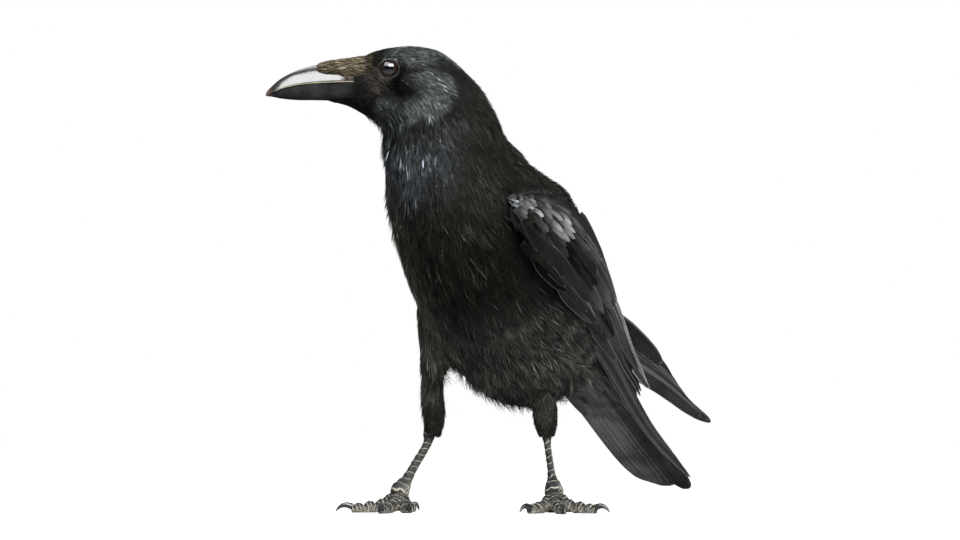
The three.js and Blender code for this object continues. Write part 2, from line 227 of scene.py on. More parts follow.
def set_colour(mesh, name, values):
    """Stores one colour for each vertex."""
    layer = mesh.color_attributes.new(name, "FLOAT_COLOR", "POINT")
    full = np.ones((len(mesh.vertices), 4), dtype=np.float32)
    full[:, :3] = values
    layer.data.foreach_set("color", full.ravel())


def set_number(mesh, name, values):
    """Stores one number for each vertex."""
    layer = mesh.attributes.new(name, "FLOAT", "POINT")
    layer.data.foreach_set("value", np.asarray(values, dtype=np.float32).ravel())


def array_mesh(name, spots, faces, vane, patch):
    """Mesh from vertex places, faces of three or four corners, and two map values a vertex."""
    mesh = bpy.data.meshes.new(name)
    mesh.vertices.add(len(spots))
    mesh.vertices.foreach_set("co", spots.astype(np.float32).ravel())
    corners = np.concatenate([group.ravel() for group in faces])
    sizes = np.concatenate([np.full(len(group), group.shape[1]) for group in faces])
    starts = np.concatenate(([0], np.cumsum(sizes)[:-1]))
    mesh.loops.add(len(corners))
    mesh.loops.foreach_set("vertex_index", corners.astype(np.int32))
    mesh.polygons.add(len(sizes))
    mesh.polygons.foreach_set("loop_start", starts.astype(np.int32))
    for title, values in ((BAKE_MAP, patch), (VANE_MAP, vane)):
        layer = mesh.uv_layers.new(name=title)
        layer.data.foreach_set("uv", values[corners].astype(np.float32).ravel())
    mesh.update(calc_edges=True)
    shade_smooth(mesh)
    return mesh


def joined_nodes(nodes, swell):
    """One bmesh of the CAD nodes' shapes, each swollen a little so that their seams close."""
    whole = bmesh.new()
    for node in nodes:
        single = bmesh.new()
        single.from_mesh(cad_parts[node].data)
        bmesh.ops.remove_doubles(single, verts=single.verts, dist=0.002 * MM)
        single.normal_update()
        for vertex in single.verts:
            vertex.co += vertex.normal * swell
        holder = bpy.data.meshes.new("holder")
        single.to_mesh(holder)
        single.free()
        whole.from_mesh(holder)
        bpy.data.meshes.remove(holder)
    return whole


def remeshed(name, nodes, swell, voxel, smooth_rounds, balls=()):
    """One even, closed skin over the shapes of several CAD nodes."""
    whole = joined_nodes(nodes, swell)
    for middle, radius in balls:
        added = bmesh.ops.create_icosphere(whole, subdivisions=3, radius=radius * MM)
        for vertex in added["verts"]:
            vertex.co += Vector(place(middle))
    rough = bpy.data.meshes.new(name + "_rough")
    whole.to_mesh(rough)
    whole.free()
    piece = bpy.data.objects.new(name, rough)
    bpy.context.scene.collection.objects.link(piece)
    remesh = piece.modifiers.new("remesh", "REMESH")
    remesh.mode = "VOXEL"
    remesh.voxel_size = voxel
    bpy.context.view_layer.update()
    ready = bpy.data.meshes.new_from_object(piece.evaluated_get(bpy.context.evaluated_depsgraph_get()))
    piece.modifiers.clear()
    piece.data = ready
    bpy.data.meshes.remove(rough)
    ready.name = name
    shape = bmesh.new()
    shape.from_mesh(ready)
    smooth_shape(shape, shape.verts, smooth_rounds)
    shape.to_mesh(ready)
    shape.free()
    shade_smooth(ready)
    return piece


def unwrap(piece):
    """Lays the piece's own shape out flat in the bake map."""
    mesh = piece.data
    while mesh.uv_layers:
        mesh.uv_layers.remove(mesh.uv_layers[0])
    mesh.uv_layers.new(name=BAKE_MAP)
    bpy.ops.object.select_all(action="DESELECT")
    bpy.context.view_layer.objects.active = piece
    piece.select_set(True)
    bpy.ops.object.mode_set(mode="EDIT")
    bpy.ops.mesh.select_all(action="SELECT")
    bpy.ops.uv.smart_project(angle_limit=math.radians(66), island_margin=0.004)
    bpy.ops.object.mode_set(mode="OBJECT")
    piece.select_set(False)


class Surface:
    """A piece's triangles, with its search tree and its place in the bake map."""

    def __init__(self, piece):
        mesh = piece.data
        mesh.calc_loop_triangles()
        count = len(mesh.loop_triangles)
        self.corners = np.empty(count * 3, dtype=np.int32)
        mesh.loop_triangles.foreach_get("vertices", self.corners)
        self.corners = self.corners.reshape(-1, 3)
        loops = np.empty(count * 3, dtype=np.int32)
        mesh.loop_triangles.foreach_get("loops", loops)
        flat = np.empty(len(mesh.loops) * 2)
        mesh.uv_layers[BAKE_MAP].data.foreach_get("uv", flat)
        self.flat = flat.reshape(-1, 2)[loops.reshape(-1, 3)]
        self.spots = vector_array(mesh, "co")
        self.normals = vector_array(mesh, "normal")
        self.tree = BVHTree.FromPolygons(self.spots.tolist(), self.corners.tolist())
        edge_a = self.spots[self.corners[:, 1]] - self.spots[self.corners[:, 0]]
        edge_b = self.spots[self.corners[:, 2]] - self.spots[self.corners[:, 0]]
        self.areas = np.linalg.norm(np.cross(edge_a, edge_b), axis=1) / 2

    def scatter(self, count, density, gap, seed):
        """About count loose roots, gap millimetres apart, weighted by density(point in millimetres)."""
        rng = np.random.default_rng(seed)
        middles = to_mm(self.spots[self.corners].mean(axis=1))
        share = self.areas * (density(middles) + 1e-7)
        pick = rng.choice(len(share), size=count * 3, p=share / share.sum())
        first = np.sqrt(rng.random(count * 3))
        second = rng.random(count * 3)
        weights = np.stack((1 - first, first * (1 - second), first * second), axis=1)[:, :, None]
        points = (self.spots[self.corners[pick]] * weights).sum(axis=1)
        normals = (self.normals[self.corners[pick]] * weights).sum(axis=1)
        flat = (self.flat[pick] * weights).sum(axis=1)
        cell = np.floor(points / (gap * MM) + rng.random(3)).astype(np.int64)
        keys = np.bitwise_xor.reduce(cell * CELL_PRIMES, axis=1)
        unused, keep = np.unique(keys, return_index=True)
        keep = rng.permutation(keep)[:count]
        return points[keep], unit_rows(normals[keep]), flat[keep]

    def follow(self, points):
        """Nearest places on the surface and their normals."""
        found = [self.tree.find_nearest(Vector(point)) for point in points]
        places = np.array([item[0] for item in found])
        normals = np.array([item[1] for item in found])
        return places, normals


# ------------------------------------------------------------------ lie of the coat

SPINE = np.array((
    head_point(66, -12), head_point(22, -5), head_point(-14, -6), head_point(-26, -26),
    (-76.0, 4.0, 192.0), (-56.0, 0.0, 163.0), (-5.0, 0.0, 127.0), (60.0, 0.0, 95.0),
    (130.0, 2.0, 58.0),
))
LEGS = {
    "right": np.array(((-12.0, 29.0, 108.0), (-16.0, 36.5, 80.0), (-12.0, 39.0, 38.0))),
    "left": np.array(((18.0, -14.0, 84.0), (10.0, -19.0, 60.0), (9.0, -21.0, 38.0))),
}


# Colours that have no setting of their own: brown and dark places of the plumage, and painted shade below and
# behind the eyes, behind the ear coverts and in a furrow behind each eye.
FLANK = (0.100, 0.092, 0.078)
LORES = (0.0065, 0.0050, 0.0040)
EYE_SHADOW_COLOUR = (0.0018, 0.0018, 0.0018)
EAR_RIM_SHADOW = (0.0022, 0.0022, 0.002)
FURROW_SHADE = (0.002, 0.002, 0.002)


def line_pull(points, line, softness):
    """Direction of a bent line near each point, and the distance to it, in millimetres."""
    total = np.zeros_like(points)
    nearest = np.full(len(points), 1e9)
    for start, end in zip(line[:-1], line[1:]):
        run = end - start
        share = np.clip(((points - start) @ run) / (run @ run), 0, 1)
        gap = np.linalg.norm(points - (start + share[:, None] * run), axis=1)
        nearest = np.minimum(nearest, gap)
        total += (run / np.linalg.norm(run)) / (gap[:, None] + softness) ** 3
    return unit_rows(total), nearest


def lie(points, normals):
    """Unit direction in which feathers point, along the surface, for points in millimetres."""
    pull, unused = line_pull(points, SPINE, 4.0)
    for line in LEGS.values():
        leg_pull, gap = line_pull(points, line, 4.0)
        near = smooth_step(17, 11, gap) * smooth_step(88, 74, points[:, 2])
        pull = pull * (1 - near[:, None]) + leg_pull * near[:, None]
    return along_surface(pull, normals)


def near_head(points):
    """Coordinates of points in the head: forward, up and to its left, in millimetres."""
    away = points - HEAD_MIDDLE
    return away @ HEAD_FORWARD, away @ UP, away @ HEAD_LEFT


def blob(points, middle, radius, soft=0.5):
    """1 near a middle and 0 beyond the radius."""
    gap = np.linalg.norm(points - np.asarray(middle), axis=1)
    return smooth_step(radius, radius * (1 - soft), gap)


def ear_reach(forward, rise):
    """Distance from the middle of the ear coverts, 1 at their rim."""
    return np.hypot((forward + 18.0) / 14.0, (rise + 12.5) / 12.5)


def painted_eye_shadow(points):
    """1 in the painted shadow below and behind each eye."""
    forward, rise, aside = near_head(points)
    deep = smooth_step(1.55, 0.35, np.hypot((forward + 5.5) / 10.5, (rise + 11.5) / 6.5))
    return deep * smooth_step(4, 9, np.abs(aside))


def markings(points):
    """Plumage colour for points in millimetres, shared by skin and feathers, with painted sheen and painted
    shade on the head.
    """
    tone = colours()
    count = len(points)
    result = np.tile(np.array(tone.plumage), (count, 1))

    def blend_in(share, target):
        nonlocal result
        result = result * (1 - share[:, None]) + np.array(target) * share[:, None]

    forward, rise, aside = near_head(points)
    side = smooth_step(4, 9, np.abs(aside))
    belly = smooth_step(132, 92, points[:, 2]) * smooth_step(-78, -35, points[:, 0])
    blend_in(belly * 0.85, tone.belly)
    front = smooth_step(-62, -86, points[:, 0]) * smooth_step(200, 185, points[:, 2])
    blend_in(front * 0.55, tone.brown)
    flank = smooth_step(6, 30, points[:, 1]) * smooth_step(190, 176, points[:, 2])
    flank = flank * smooth_step(76, 92, points[:, 2]) * smooth_step(-12, -30, points[:, 0])
    blend_in(flank * 0.7, FLANK)
    nape = smooth_step(-26, -40, forward) * smooth_step(175, 205, points[:, 2])
    blend_in(nape * 0.2, tone.brown)
    throat = smooth_step(31, 15, np.hypot((forward + 8) * 0.9, rise + 46))
    throat = throat * (0.35 + 0.65 * smooth_step(-34, -42, rise))
    blend_in(throat * 0.85, tone.throat)
    # Painted sheen: crown, cheeks and ear coverts take the slate colour.
    crown = smooth_step(-1, 5, rise) * smooth_step(8, -2, forward) * smooth_step(-40, -28, forward)
    blend_in(crown * 0.75, tone.painted_slate_sheen)
    cheek = smooth_step(15, 9, np.hypot(forward + 1, (rise + 23) * 1.2)) * side
    blend_in(cheek * 0.7, tone.painted_slate_sheen)
    lores = smooth_step(2, 9, forward) * smooth_step(-15, -9, rise)
    blend_in(lores * 0.9, LORES)
    from_ear = ear_reach(forward, rise)
    ear = smooth_step(1.10, 0.95, from_ear) * side
    blend_in(ear * 0.74, tone.painted_slate_sheen)
    # Painted shadow: near-black below and behind each eye.
    blend_in(painted_eye_shadow(points) * 0.95, EYE_SHADOW_COLOUR)
    # Painted shadow: a near-black band behind the rim of the ear coverts, where their lifted edge casts
    # shade.
    behind = smooth_step(1.08, 1.2, from_ear) * smooth_step(1.8, 1.45, from_ear)
    behind = behind * side * smooth_step(-10, -24, forward + rise * 0.5)
    blend_in(behind * 0.9, EAR_RIM_SHADOW)
    # Painted shade: a near-black line in the furrow behind each eye.
    furrow_shade = smooth_step(1.8, 0.6, np.abs(rise + 0.6 + (forward + 6) * 0.03)) * side
    furrow_shade = furrow_shade * smooth_step(-4, -6, forward) * smooth_step(-18, -12, forward)
    blend_in(furrow_shade * 0.9, FURROW_SHADE)
    nose = smooth_step(10, 17, forward) * smooth_step(-7.5, -6, rise)
    blend_in(nose, tone.bristle)
    thigh = smooth_step(74, 62, points[:, 2]) * smooth_step(40, 20, points[:, 0])
    blend_in(thigh * 0.85, np.array(tone.brown) * 0.75)
    return result


# ------------------------------------------------------------------ finishes

def new_material(name):
    material = bpy.data.materials.new(name)
    material.use_nodes = True
    tree = material.node_tree
    return material, tree, tree.nodes["Principled BSDF"]


def node(tree, kind, **values):
    made = tree.nodes.new(kind)
    for key, value in values.items():
        setattr(made, key, value)
    return made


def fill(tree, made, values):
    """Sets a node's inputs, by name or number, to fixed values or links them to outputs."""
    for key, value in values.items():
        socket = made.inputs[key]
        if isinstance(value, bpy.types.NodeSocket):
            tree.links.new(value, socket)
        elif socket.type == "RGBA":
            socket.default_value = (*value[:3], 1)
        else:
            socket.default_value = value
    return made


def attribute(tree, name, output="Fac"):
    return node(tree, "ShaderNodeAttribute", attribute_name=name).outputs[output]


def math_node(tree, operation, first, second=0.5):
    made = node(tree, "ShaderNodeMath", operation=operation)
    return fill(tree, made, {0: first, 1: second}).outputs[0]


def times(tree, first, second):
    return math_node(tree, "MULTIPLY", first, second)


def plus(tree, first, second):
    return math_node(tree, "ADD", first, second)


def mix_colour(tree, factor, first, second):
    made = node(tree, "ShaderNodeMix", data_type="RGBA")
    return fill(tree, made, {0: factor, 6: first, 7: second}).outputs[2]


def marked_colour(tree, gain):
    """The marking of each place, lighter or darker by a gain."""
    made = node(tree, "ShaderNodeVectorMath", operation="SCALE")
    return fill(tree, made, {0: attribute(tree, "marking", "Color"), "Scale": gain}).outputs[0]


def object_place(tree):
    return node(tree, "ShaderNodeTexCoord").outputs["Object"]


def noise(tree, scale, detail=4.0, stretch=None, vector=None):
    source = vector or object_place(tree)
    if stretch:
        mapping = node(tree, "ShaderNodeMapping")
        source = fill(tree, mapping, {"Vector": source, "Scale": stretch}).outputs["Vector"]
    made = node(tree, "ShaderNodeTexNoise")
    return fill(tree, made, {"Vector": source, "Scale": scale, "Detail": detail}).outputs["Fac"]


def ramp(tree, value, low, high, to_low=0.0, to_high=1.0):
    made = node(tree, "ShaderNodeMapRange", clamp=True)
    return fill(tree, made, {0: value, 1: low, 2: high, 3: to_low, 4: to_high}).outputs[0]


def bump(tree, shader, height, distance, strength=1.0):
    made = node(tree, "ShaderNodeBump")
    fill(tree, made, {"Height": height, "Distance": distance, "Strength": strength})
    tree.links.new(made.outputs["Normal"], shader.inputs["Normal"])


def vane_places(tree):
    """Distance from a feather's middle line, place along it, and both as one vector."""
    vane = node(tree, "ShaderNodeUVMap", uv_map=VANE_MAP).outputs["UV"]
    parts = fill(tree, node(tree, "ShaderNodeSeparateXYZ"), {0: vane})
    aside = math_node(tree, "ABSOLUTE", math_node(tree, "SUBTRACT", parts.outputs[0], 0.5))
    return aside, parts.outputs[1], vane


def plumage_material(name, rough=0.5, specular=0.12, tint=(1.0, 1.0, 0.92), sheen=0.01, tip_gain=0.6,
                     rim_gain=0.0):
    """Body feathers: marked colour, each tuft a little lighter or darker, paler tips, barb lines."""
    material, tree, shader = new_material(name)
    aside, along, vane = vane_places(tree)
    gain = plus(tree, times(tree, math_node(tree, "POWER", along, 2.5), tip_gain), 0.35)
    rim = times(tree, ramp(tree, aside, 0.36, 0.48), ramp(tree, along, 0.45, 0.8))
    gain = plus(tree, gain, times(tree, rim, rim_gain))
    gain = times(tree, gain, attribute(tree, "shade"))
    gain = times(tree, gain, ramp(tree, noise(tree, 90.0), 0.3, 0.75, 0.55, 1.4))
    streak = noise(tree, 1.0, 3.0, (60.0, 2.5, 1.0), vane)
    bump(tree, shader, streak, 0.0003, 0.6)
    fill(tree, shader, {
        "Base Color": marked_colour(tree, gain),
        "Roughness": ramp(tree, streak, 0.2, 0.8, rough - 0.12, rough + 0.16),
        "Specular IOR Level": specular, "Specular Tint": tint,
        "Sheen Weight": sheen, "Sheen Roughness": 0.45, "Sheen Tint": (0.9, 0.95, 1.0)})
    return material


BARBS = 190.0                      # barb lines along a vane, as an angle in radians
BARB_SLANT = -55.0                 # how far they lean back towards the rim
SHAFT_COLOUR = (0.004, 0.0035, 0.0035)


def vane_material(name, edge, rough=0.42, edge_start=0.43, specular=0.35, tip_gain=0.0):
    """Smooth vanes: dark shaft, fine slanting barbs, and a pale rim, partly worn and partly a painted
    highlight.
    """
    material, tree, shader = new_material(name)
    aside, along, vane = vane_places(tree)
    slant = plus(tree, times(tree, along, BARBS), times(tree, aside, BARB_SLANT))
    barbs = math_node(tree, "SINE", slant)
    worn = noise(tree, 260.0, 5.0)
    rim = ramp(tree, plus(tree, aside, times(tree, worn, 0.05)), edge_start + 0.03, edge_start + 0.07)
    end = ramp(tree, plus(tree, along, times(tree, worn, 0.04)), 0.985, 1.02)
    rim = math_node(tree, "MAXIMUM", rim, end)
    rim = times(tree, rim, times(tree, attribute(tree, "shade"), 0.29))
    tone = plus(tree, times(tree, barbs, 0.12), ramp(tree, noise(tree, 45.0, 5.0), 0.3, 0.7, 0.55, 1.5))
    streak = noise(tree, 1.0, 4.0, (22.0, 2.0, 1.0), vane)
    tone = times(tree, tone, ramp(tree, streak, 0.35, 0.65, 0.45, 1.6))
    tone = times(tree, tone, ramp(tree, along, 0.45, 0.97, 1.0 - 0.6 * tip_gain, 1.0 + tip_gain))
    base = mix_colour(tree, rim, marked_colour(tree, tone), edge)
    shaft = ramp(tree, aside, 0.012, 0.03, 1.0, 0.0)
    bump(tree, shader, plus(tree, times(tree, barbs, 0.35), times(tree, shaft, 1.6)), 0.00012, 0.7)
    fill(tree, shader, {
        "Base Color": mix_colour(tree, times(tree, shaft, 0.6), base, SHAFT_COLOUR),
        "Roughness": ramp(tree, worn, 0.3, 0.7, rough - 0.08, rough + 0.12),
        "Specular IOR Level": specular})
    return material


def lighter(colour, gain):
    return tuple(channel * gain + 0.004 for channel in colour)


def claw_material():
    """Claw horn: near-black, softly streaked, with fine wear."""
    material, tree, shader = new_material("claw_horn")
    dark = (0.012, 0.011, 0.011)
    soft = noise(tree, 70.0, 4.0, (4.0, 4.0, 4.0))
    bump(tree, shader, soft, 0.0004, 0.25)
    fill(tree, shader, {
        "Base Color": mix_colour(tree, ramp(tree, soft, 0.35, 0.75), dark, lighter(dark, 2.6)),
        "Roughness": ramp(tree, noise(tree, 900.0, 3.0), 0.3, 0.7, 0.24, 0.40),
        "Coat Weight": 0.5, "Coat Roughness": 0.16})
    return material


def bill_material(name, rough, specular, coat_weight):
    """Bill horn: near-black with long scratches, a pale cutting edge and a worn ivory tip."""
    material, tree, shader = new_material(name)
    worn = noise(tree, 420.0, 5.0)
    dark = tuple(colours().bill)
    base = mix_colour(tree, ramp(tree, noise(tree, 110.0, 4.0), 0.35, 0.75), dark, lighter(dark, 2.4))
    rim = ramp(tree, plus(tree, attribute(tree, "edge"), times(tree, worn, 0.45)), 0.98, 1.2)
    base = mix_colour(tree, times(tree, rim, 0.85), base, (0.34, 0.30, 0.20))
    end = ramp(tree, plus(tree, attribute(tree, "tip"), times(tree, worn, 0.3)), 0.7, 1.25)
    bump(tree, shader, worn, 0.00035, 0.22)
    fill(tree, shader, {
        "Base Color": mix_colour(tree, times(tree, end, 0.75), base, (0.12, 0.075, 0.052)),
        "Roughness": ramp(tree, noise(tree, 1400.0, 4.0), 0.3, 0.7, rough - 0.05, rough + 0.07),
        "Specular IOR Level": specular, "Coat Weight": coat_weight, "Coat Roughness": 0.14})
    return material


def skin_material():
    """Skin under the coat, with the plumage's own markings so that no gap shows pale."""
    material, tree, shader = new_material("skin_under_coat")
    mark = attribute(tree, "marking", "Color")
    bump(tree, shader, noise(tree, 500.0), 0.0005, 0.6)
    fill(tree, shader, {
        "Base Color": mix_colour(tree, ramp(tree, noise(tree, 400.0), 0.3, 0.8), mark,
                                 (0.003, 0.003, 0.003)),
        "Roughness": 0.9, "Specular IOR Level": 0.2})
    return material


def eye_material():
    """Dark brown iris round a near-black pupil with a faint painted blue reflection, under a wet cornea."""
    material, tree, shader = new_material("eye_wet")
    reach = attribute(tree, "reach")
    ring = plus(tree, reach, times(tree, noise(tree, 1500.0, 4.0), 0.05))
    iris = mix_colour(tree, ramp(tree, ring, 0.42, 0.74), (0.015, 0.008, 0.006), (0.007, 0.0045, 0.004))
    # The pupil's faint blue is a painted reflection.
    base = mix_colour(tree, ramp(tree, reach, 0.40, 0.44), (0.0012, 0.0020, 0.0035), iris)
    fill(tree, shader, {
        "Base Color": mix_colour(tree, ramp(tree, reach, 0.74, 0.79), base, (0.004, 0.004, 0.004)),
        "Roughness": 0.12, "Specular IOR Level": 0.0,
        "Coat Weight": 1.0, "Coat IOR": 1.62, "Coat Roughness": 0.012})
    return material


def lid_material():
    """Bare eyelid: dark wrinkled skin."""
    material, tree, shader = new_material("eye_lid")
    grains = noise(tree, 1100.0, 3.0)
    bump(tree, shader, grains, 0.0002, 0.8)
    fill(tree, shader, {
        "Base Color": mix_colour(tree, ramp(tree, grains, 0.4, 0.7), (0.002, 0.002, 0.002),
                                 (0.009, 0.0085, 0.008)),
        "Roughness": 0.5, "Specular IOR Level": 0.25})
    return material


def grain_material():
    """Pale dry grains of the eyelid's edge."""
    material, tree, shader = new_material("lid_grains")
    bump(tree, shader, noise(tree, 3000.0), 0.0001, 0.5)
    fill(tree, shader, {
        "Base Color": mix_colour(tree, ramp(tree, noise(tree, 900.0), 0.35, 0.65), (0.05, 0.05, 0.05),
                                 (0.30, 0.30, 0.29)),
        "Roughness": 0.55})
    return material


def scale_material():
    """Horny leg scales: charcoal plates with pale dusty seams, pebbly soles."""
    material, tree, shader = new_material("leg_scale")
    front, low = attribute(tree, "front"), attribute(tree, "low")
    grain, soft = noise(tree, 900.0, 5.0), noise(tree, 220.0, 4.0)
    base = mix_colour(tree, ramp(tree, soft, 0.3, 0.7), (0.006, 0.006, 0.006), (0.026, 0.027, 0.026))
    phase = math_node(tree, "FRACT", plus(tree, attribute(tree, "steps"), times(tree, soft, 0.9)))
    wide = plus(tree, times(tree, low, 0.06), times(tree, grain, 0.20))
    seam = ramp(tree, math_node(tree, "SUBTRACT", wide, phase), -0.02, 0.05)
    seam = times(tree, seam, ramp(tree, front, -0.8, -0.1, 0.45, 1.0))
    seam = times(tree, seam, ramp(tree, grain, 0.32, 0.5, 0.2, 1.0))
    base = mix_colour(tree, seam, base, (0.33, 0.315, 0.26))
    cells = node(tree, "ShaderNodeTexVoronoi", feature="DISTANCE_TO_EDGE")
    fill(tree, cells, {"Vector": object_place(tree), "Scale": 750.0})
    pebble = ramp(tree, cells.outputs["Distance"], 0.05, 0.22, 1.0, 0.0)
    rear = times(tree, pebble, ramp(tree, front, 0.35, -0.3))
    rear = times(tree, rear, ramp(tree, low, 0.0, 1.0, 0.2, 1.0))
    bump(tree, shader, math_node(tree, "SUBTRACT", grain, rear), 0.0002, 0.5)
    fill(tree, shader, {
        "Base Color": mix_colour(tree, times(tree, rear, 0.85), base, (0.42, 0.40, 0.33)),
        "Roughness": ramp(tree, grain, 0.3, 0.7, 0.38, 0.6),
        "Specular IOR Level": 0.25})
    return material


# ------------------------------------------------------------------ tufts

SKIN_HOLD = 0.85                   # how closely a blade follows the skin under it
NORMAL_HOLD = 0.6                  # how closely it stands square to that skin
BLADE_TAPER = 2.2                  # high for a blade that stays wide up to its tip
BLADE_ROOT = 0.75                  # width at the root, as a share of the widest


@dataclass
class Tuft:
    """What one kind of tuft is like; sizes are in millimetres."""

    length: float
    width: float
    blades: int
    blade: float                   # width of one blade
    rows: int = 3
    root: float = 0.0              # how far its root stands off the skin
    spread: float = 0.22           # how much shorter the outer blades are
    roll: float = 0.5              # random turn of each blade round its own length
    length_jitter: float = 0.2
    turn: float = 0.12             # random turn of the whole tuft
    contrast: float = 0.3          # random difference of tone
    pale: float = 0.0              # share of blades that are pale
    pale_gain: float = 5.0


def grow_tufts(name, surface, roots, tuft, size, rise, seed, flow=lie, colour=markings):
    """Joined tufts: every one is a fan of narrow blades that follows the surface and lifts off it."""
    points, normals, flat = roots
    rng = np.random.default_rng(seed)
    count = len(points)
    places_mm = to_mm(points)
    scale = size(places_mm) if callable(size) else np.full(count, size)
    lift = rise(places_mm) if callable(rise) else np.full(count, rise)
    ahead = flow(places_mm, normals)
    side = np.cross(normals, ahead)
    swing = rng.normal(0, tuft.turn, count)[:, None]
    ahead = ahead * np.cos(swing) + side * np.sin(swing)
    length = tuft.length * MM * scale * (1 + tuft.length_jitter * rng.uniform(-1, 1, count))
    steps = tuft.rows + 1
    line = np.empty((steps, count, 3))
    turned = np.empty((steps, count, 3))
    tip_rise = lift * MM * rng.uniform(0.7, 1.15, count)
    for step in range(steps):
        share = step / tuft.rows
        reach = points + ahead * (length * share)[:, None]
        on_skin, skin_normal = surface.follow(reach)
        facing = (skin_normal * normals).sum(axis=1) > 0.2
        on_skin = np.where(facing[:, None], on_skin, reach)
        skin_normal = np.where(facing[:, None], skin_normal, normals)
        mixed = unit_rows(skin_normal * NORMAL_HOLD + normals * (1 - NORMAL_HOLD))
        height = tuft.root * MM + tip_rise * share ** 1.1
        line[step] = on_skin * SKIN_HOLD + reach * (1 - SKIN_HOLD) + mixed * height[:, None]
        turned[step] = mixed
    tone = np.exp(rng.normal(0, tuft.contrast, count))
    profile = 1 - (np.arange(steps) / tuft.rows) ** BLADE_TAPER
    profile[0] = BLADE_ROOT
    spots, vane, patch, shade = [], [], [], []
    per_blade = 2 * tuft.rows + 1
    for blade in range(tuft.blades):
        across = 0.0 if tuft.blades == 1 else 2 * (blade + 0.5) / tuft.blades - 1
        reach = (1 - tuft.spread * across * across) * rng.uniform(0.86, 1.0, count)
        roll = rng.normal(0, tuft.roll, count)[:, None] + across * 0.35
        tone_blade = tone * np.exp(rng.normal(0, tuft.contrast * 0.6, count))
        tone_blade = tone_blade * np.where(rng.random(count) < tuft.pale, tuft.pale_gain, 1.0)
        bend = rng.normal(0, 0.07, count)
        for step in range(steps):
            share = step / tuft.rows
            at = share * reach * tuft.rows
            low = np.minimum(at.astype(int), tuft.rows - 1)
            part = (at - low)[:, None]
            index = np.arange(count)
            middle = line[low, index] * (1 - part) + line[low + 1, index] * part
            normal = turned[low, index]
            beside = unit_rows(np.cross(normal, ahead))
            fan = across * (0.25 + 0.75 * math.sin(min(share * 1.25, 1) * math.pi / 2))
            aside = tuft.width / 2 * MM * scale * fan + length * bend * share * share
            middle = middle + beside * aside[:, None] - normal * (
                abs(across) * tuft.width * 0.12 * MM * scale * share)[:, None]
            across_blade = beside * np.cos(roll) + normal * np.sin(roll)
            half = (tuft.blade / 2 * MM * scale * profile[step])[:, None]
            u_middle = (across + 1) / 2
            corners = [(middle, 0.0)] if step == tuft.rows else [
                (middle - across_blade * half, -0.5), (middle + across_blade * half, 0.5)]
            for spot, offset in corners:
                spots.append(spot)
                u = u_middle + offset / tuft.blades
                vane.append(np.tile((u, share), (count, 1)))
                patch.append(flat + (np.array((u, share)) - 0.5) * PATCH)
                shade.append(tone_blade)
    per_tuft = per_blade * tuft.blades
    spots = np.stack(spots, axis=1).reshape(-1, 3)
    vane = np.stack(vane, axis=1).reshape(-1, 2)
    patch = np.stack(patch, axis=1).reshape(-1, 2)
    shade = np.stack(shade, axis=1).reshape(-1)
    starts = (np.arange(count) * per_tuft)[:, None] + np.arange(tuft.blades) * per_blade
    starts = starts.reshape(-1, 1)
    quads = [starts + 2 * row + np.array((0, 1, 3, 2)) for row in range(tuft.rows - 1)]
    last = 2 * (tuft.rows - 1)
    tips = starts + last + np.array((0, 1, 2))
    faces = ([np.concatenate(quads)] if quads else []) + [tips]
    mesh = array_mesh(name, spots, faces, vane, patch)
    set_number(mesh, "shade", shade)
    set_colour(mesh, "marking", np.repeat(colour(places_mm), per_tuft, axis=0))
    return bpy.data.objects.new(name, mesh)


def tuft_piece(name, surface, look, tuft, roots, seeds, size, rise, flow=lie, colour=markings):
    """Finished piece of coat; roots are its count, density and gap, seeds those of roots and tufts."""
    scattered = surface.scatter(*roots, SEED + seeds[0])
    piece = grow_tufts(name, surface, scattered, tuft, size, rise, SEED + seeds[1], flow, colour)
    return finish_piece(piece, look=look)


# ------------------------------------------------------------------ long vanes

def vane_template(columns, rows):
    """A thin closed blank feather: x from -1 to 1 across, y from 0 to 1 along, z 0 or -1."""
    blank = bmesh.new()
    bmesh.ops.create_grid(blank, x_segments=columns, y_segments=rows, size=1)
    for vertex in blank.verts:
        vertex.co.y = 1 - (1 - (vertex.co.y + 1) / 2) ** 1.5
    bottom = bmesh.ops.duplicate(blank, geom=blank.verts[:] + blank.edges[:] + blank.faces[:])
    lower = [item for item in bottom["geom"] if isinstance(item, bmesh.types.BMVert)]
    under = [item for item in bottom["geom"] if isinstance(item, bmesh.types.BMFace)]
    bmesh.ops.translate(blank, verts=lower, vec=(0, 0, -1))
    bmesh.ops.reverse_faces(blank, faces=under)
    rims = [edge for edge in blank.edges if edge.is_boundary]
    bmesh.ops.bridge_loops(blank, edges=rims)
    blank.verts.index_update()
    spots = np.array([vertex.co[:] for vertex in blank.verts])
    faces = np.array([[vertex.index for vertex in face.verts] for face in blank.faces])
    blank.free()
    return spots, faces


@dataclass
class Vane:
    """One long feather: its line of middles and normals, its shape and its look, in millimetres."""

    line: np.ndarray
    normals: np.ndarray
    width: float
    inner: float = 0.5             # share of the width on the inner side of the shaft
    blunt: float = 9.0             # high for a square tip, low for a pointed one
    hollow: float = 0.12           # how far the sides bend down
    thick: float = 0.35
    shade: float = 1.0             # paleness of the rim, partly wear and partly painted highlight
    root_width: float = 0.45
    tone: tuple = (0.012, 0.012, 0.013)
    top: float = 1.0               # share of the tone that the upper face has; the lower face's tone is painted light


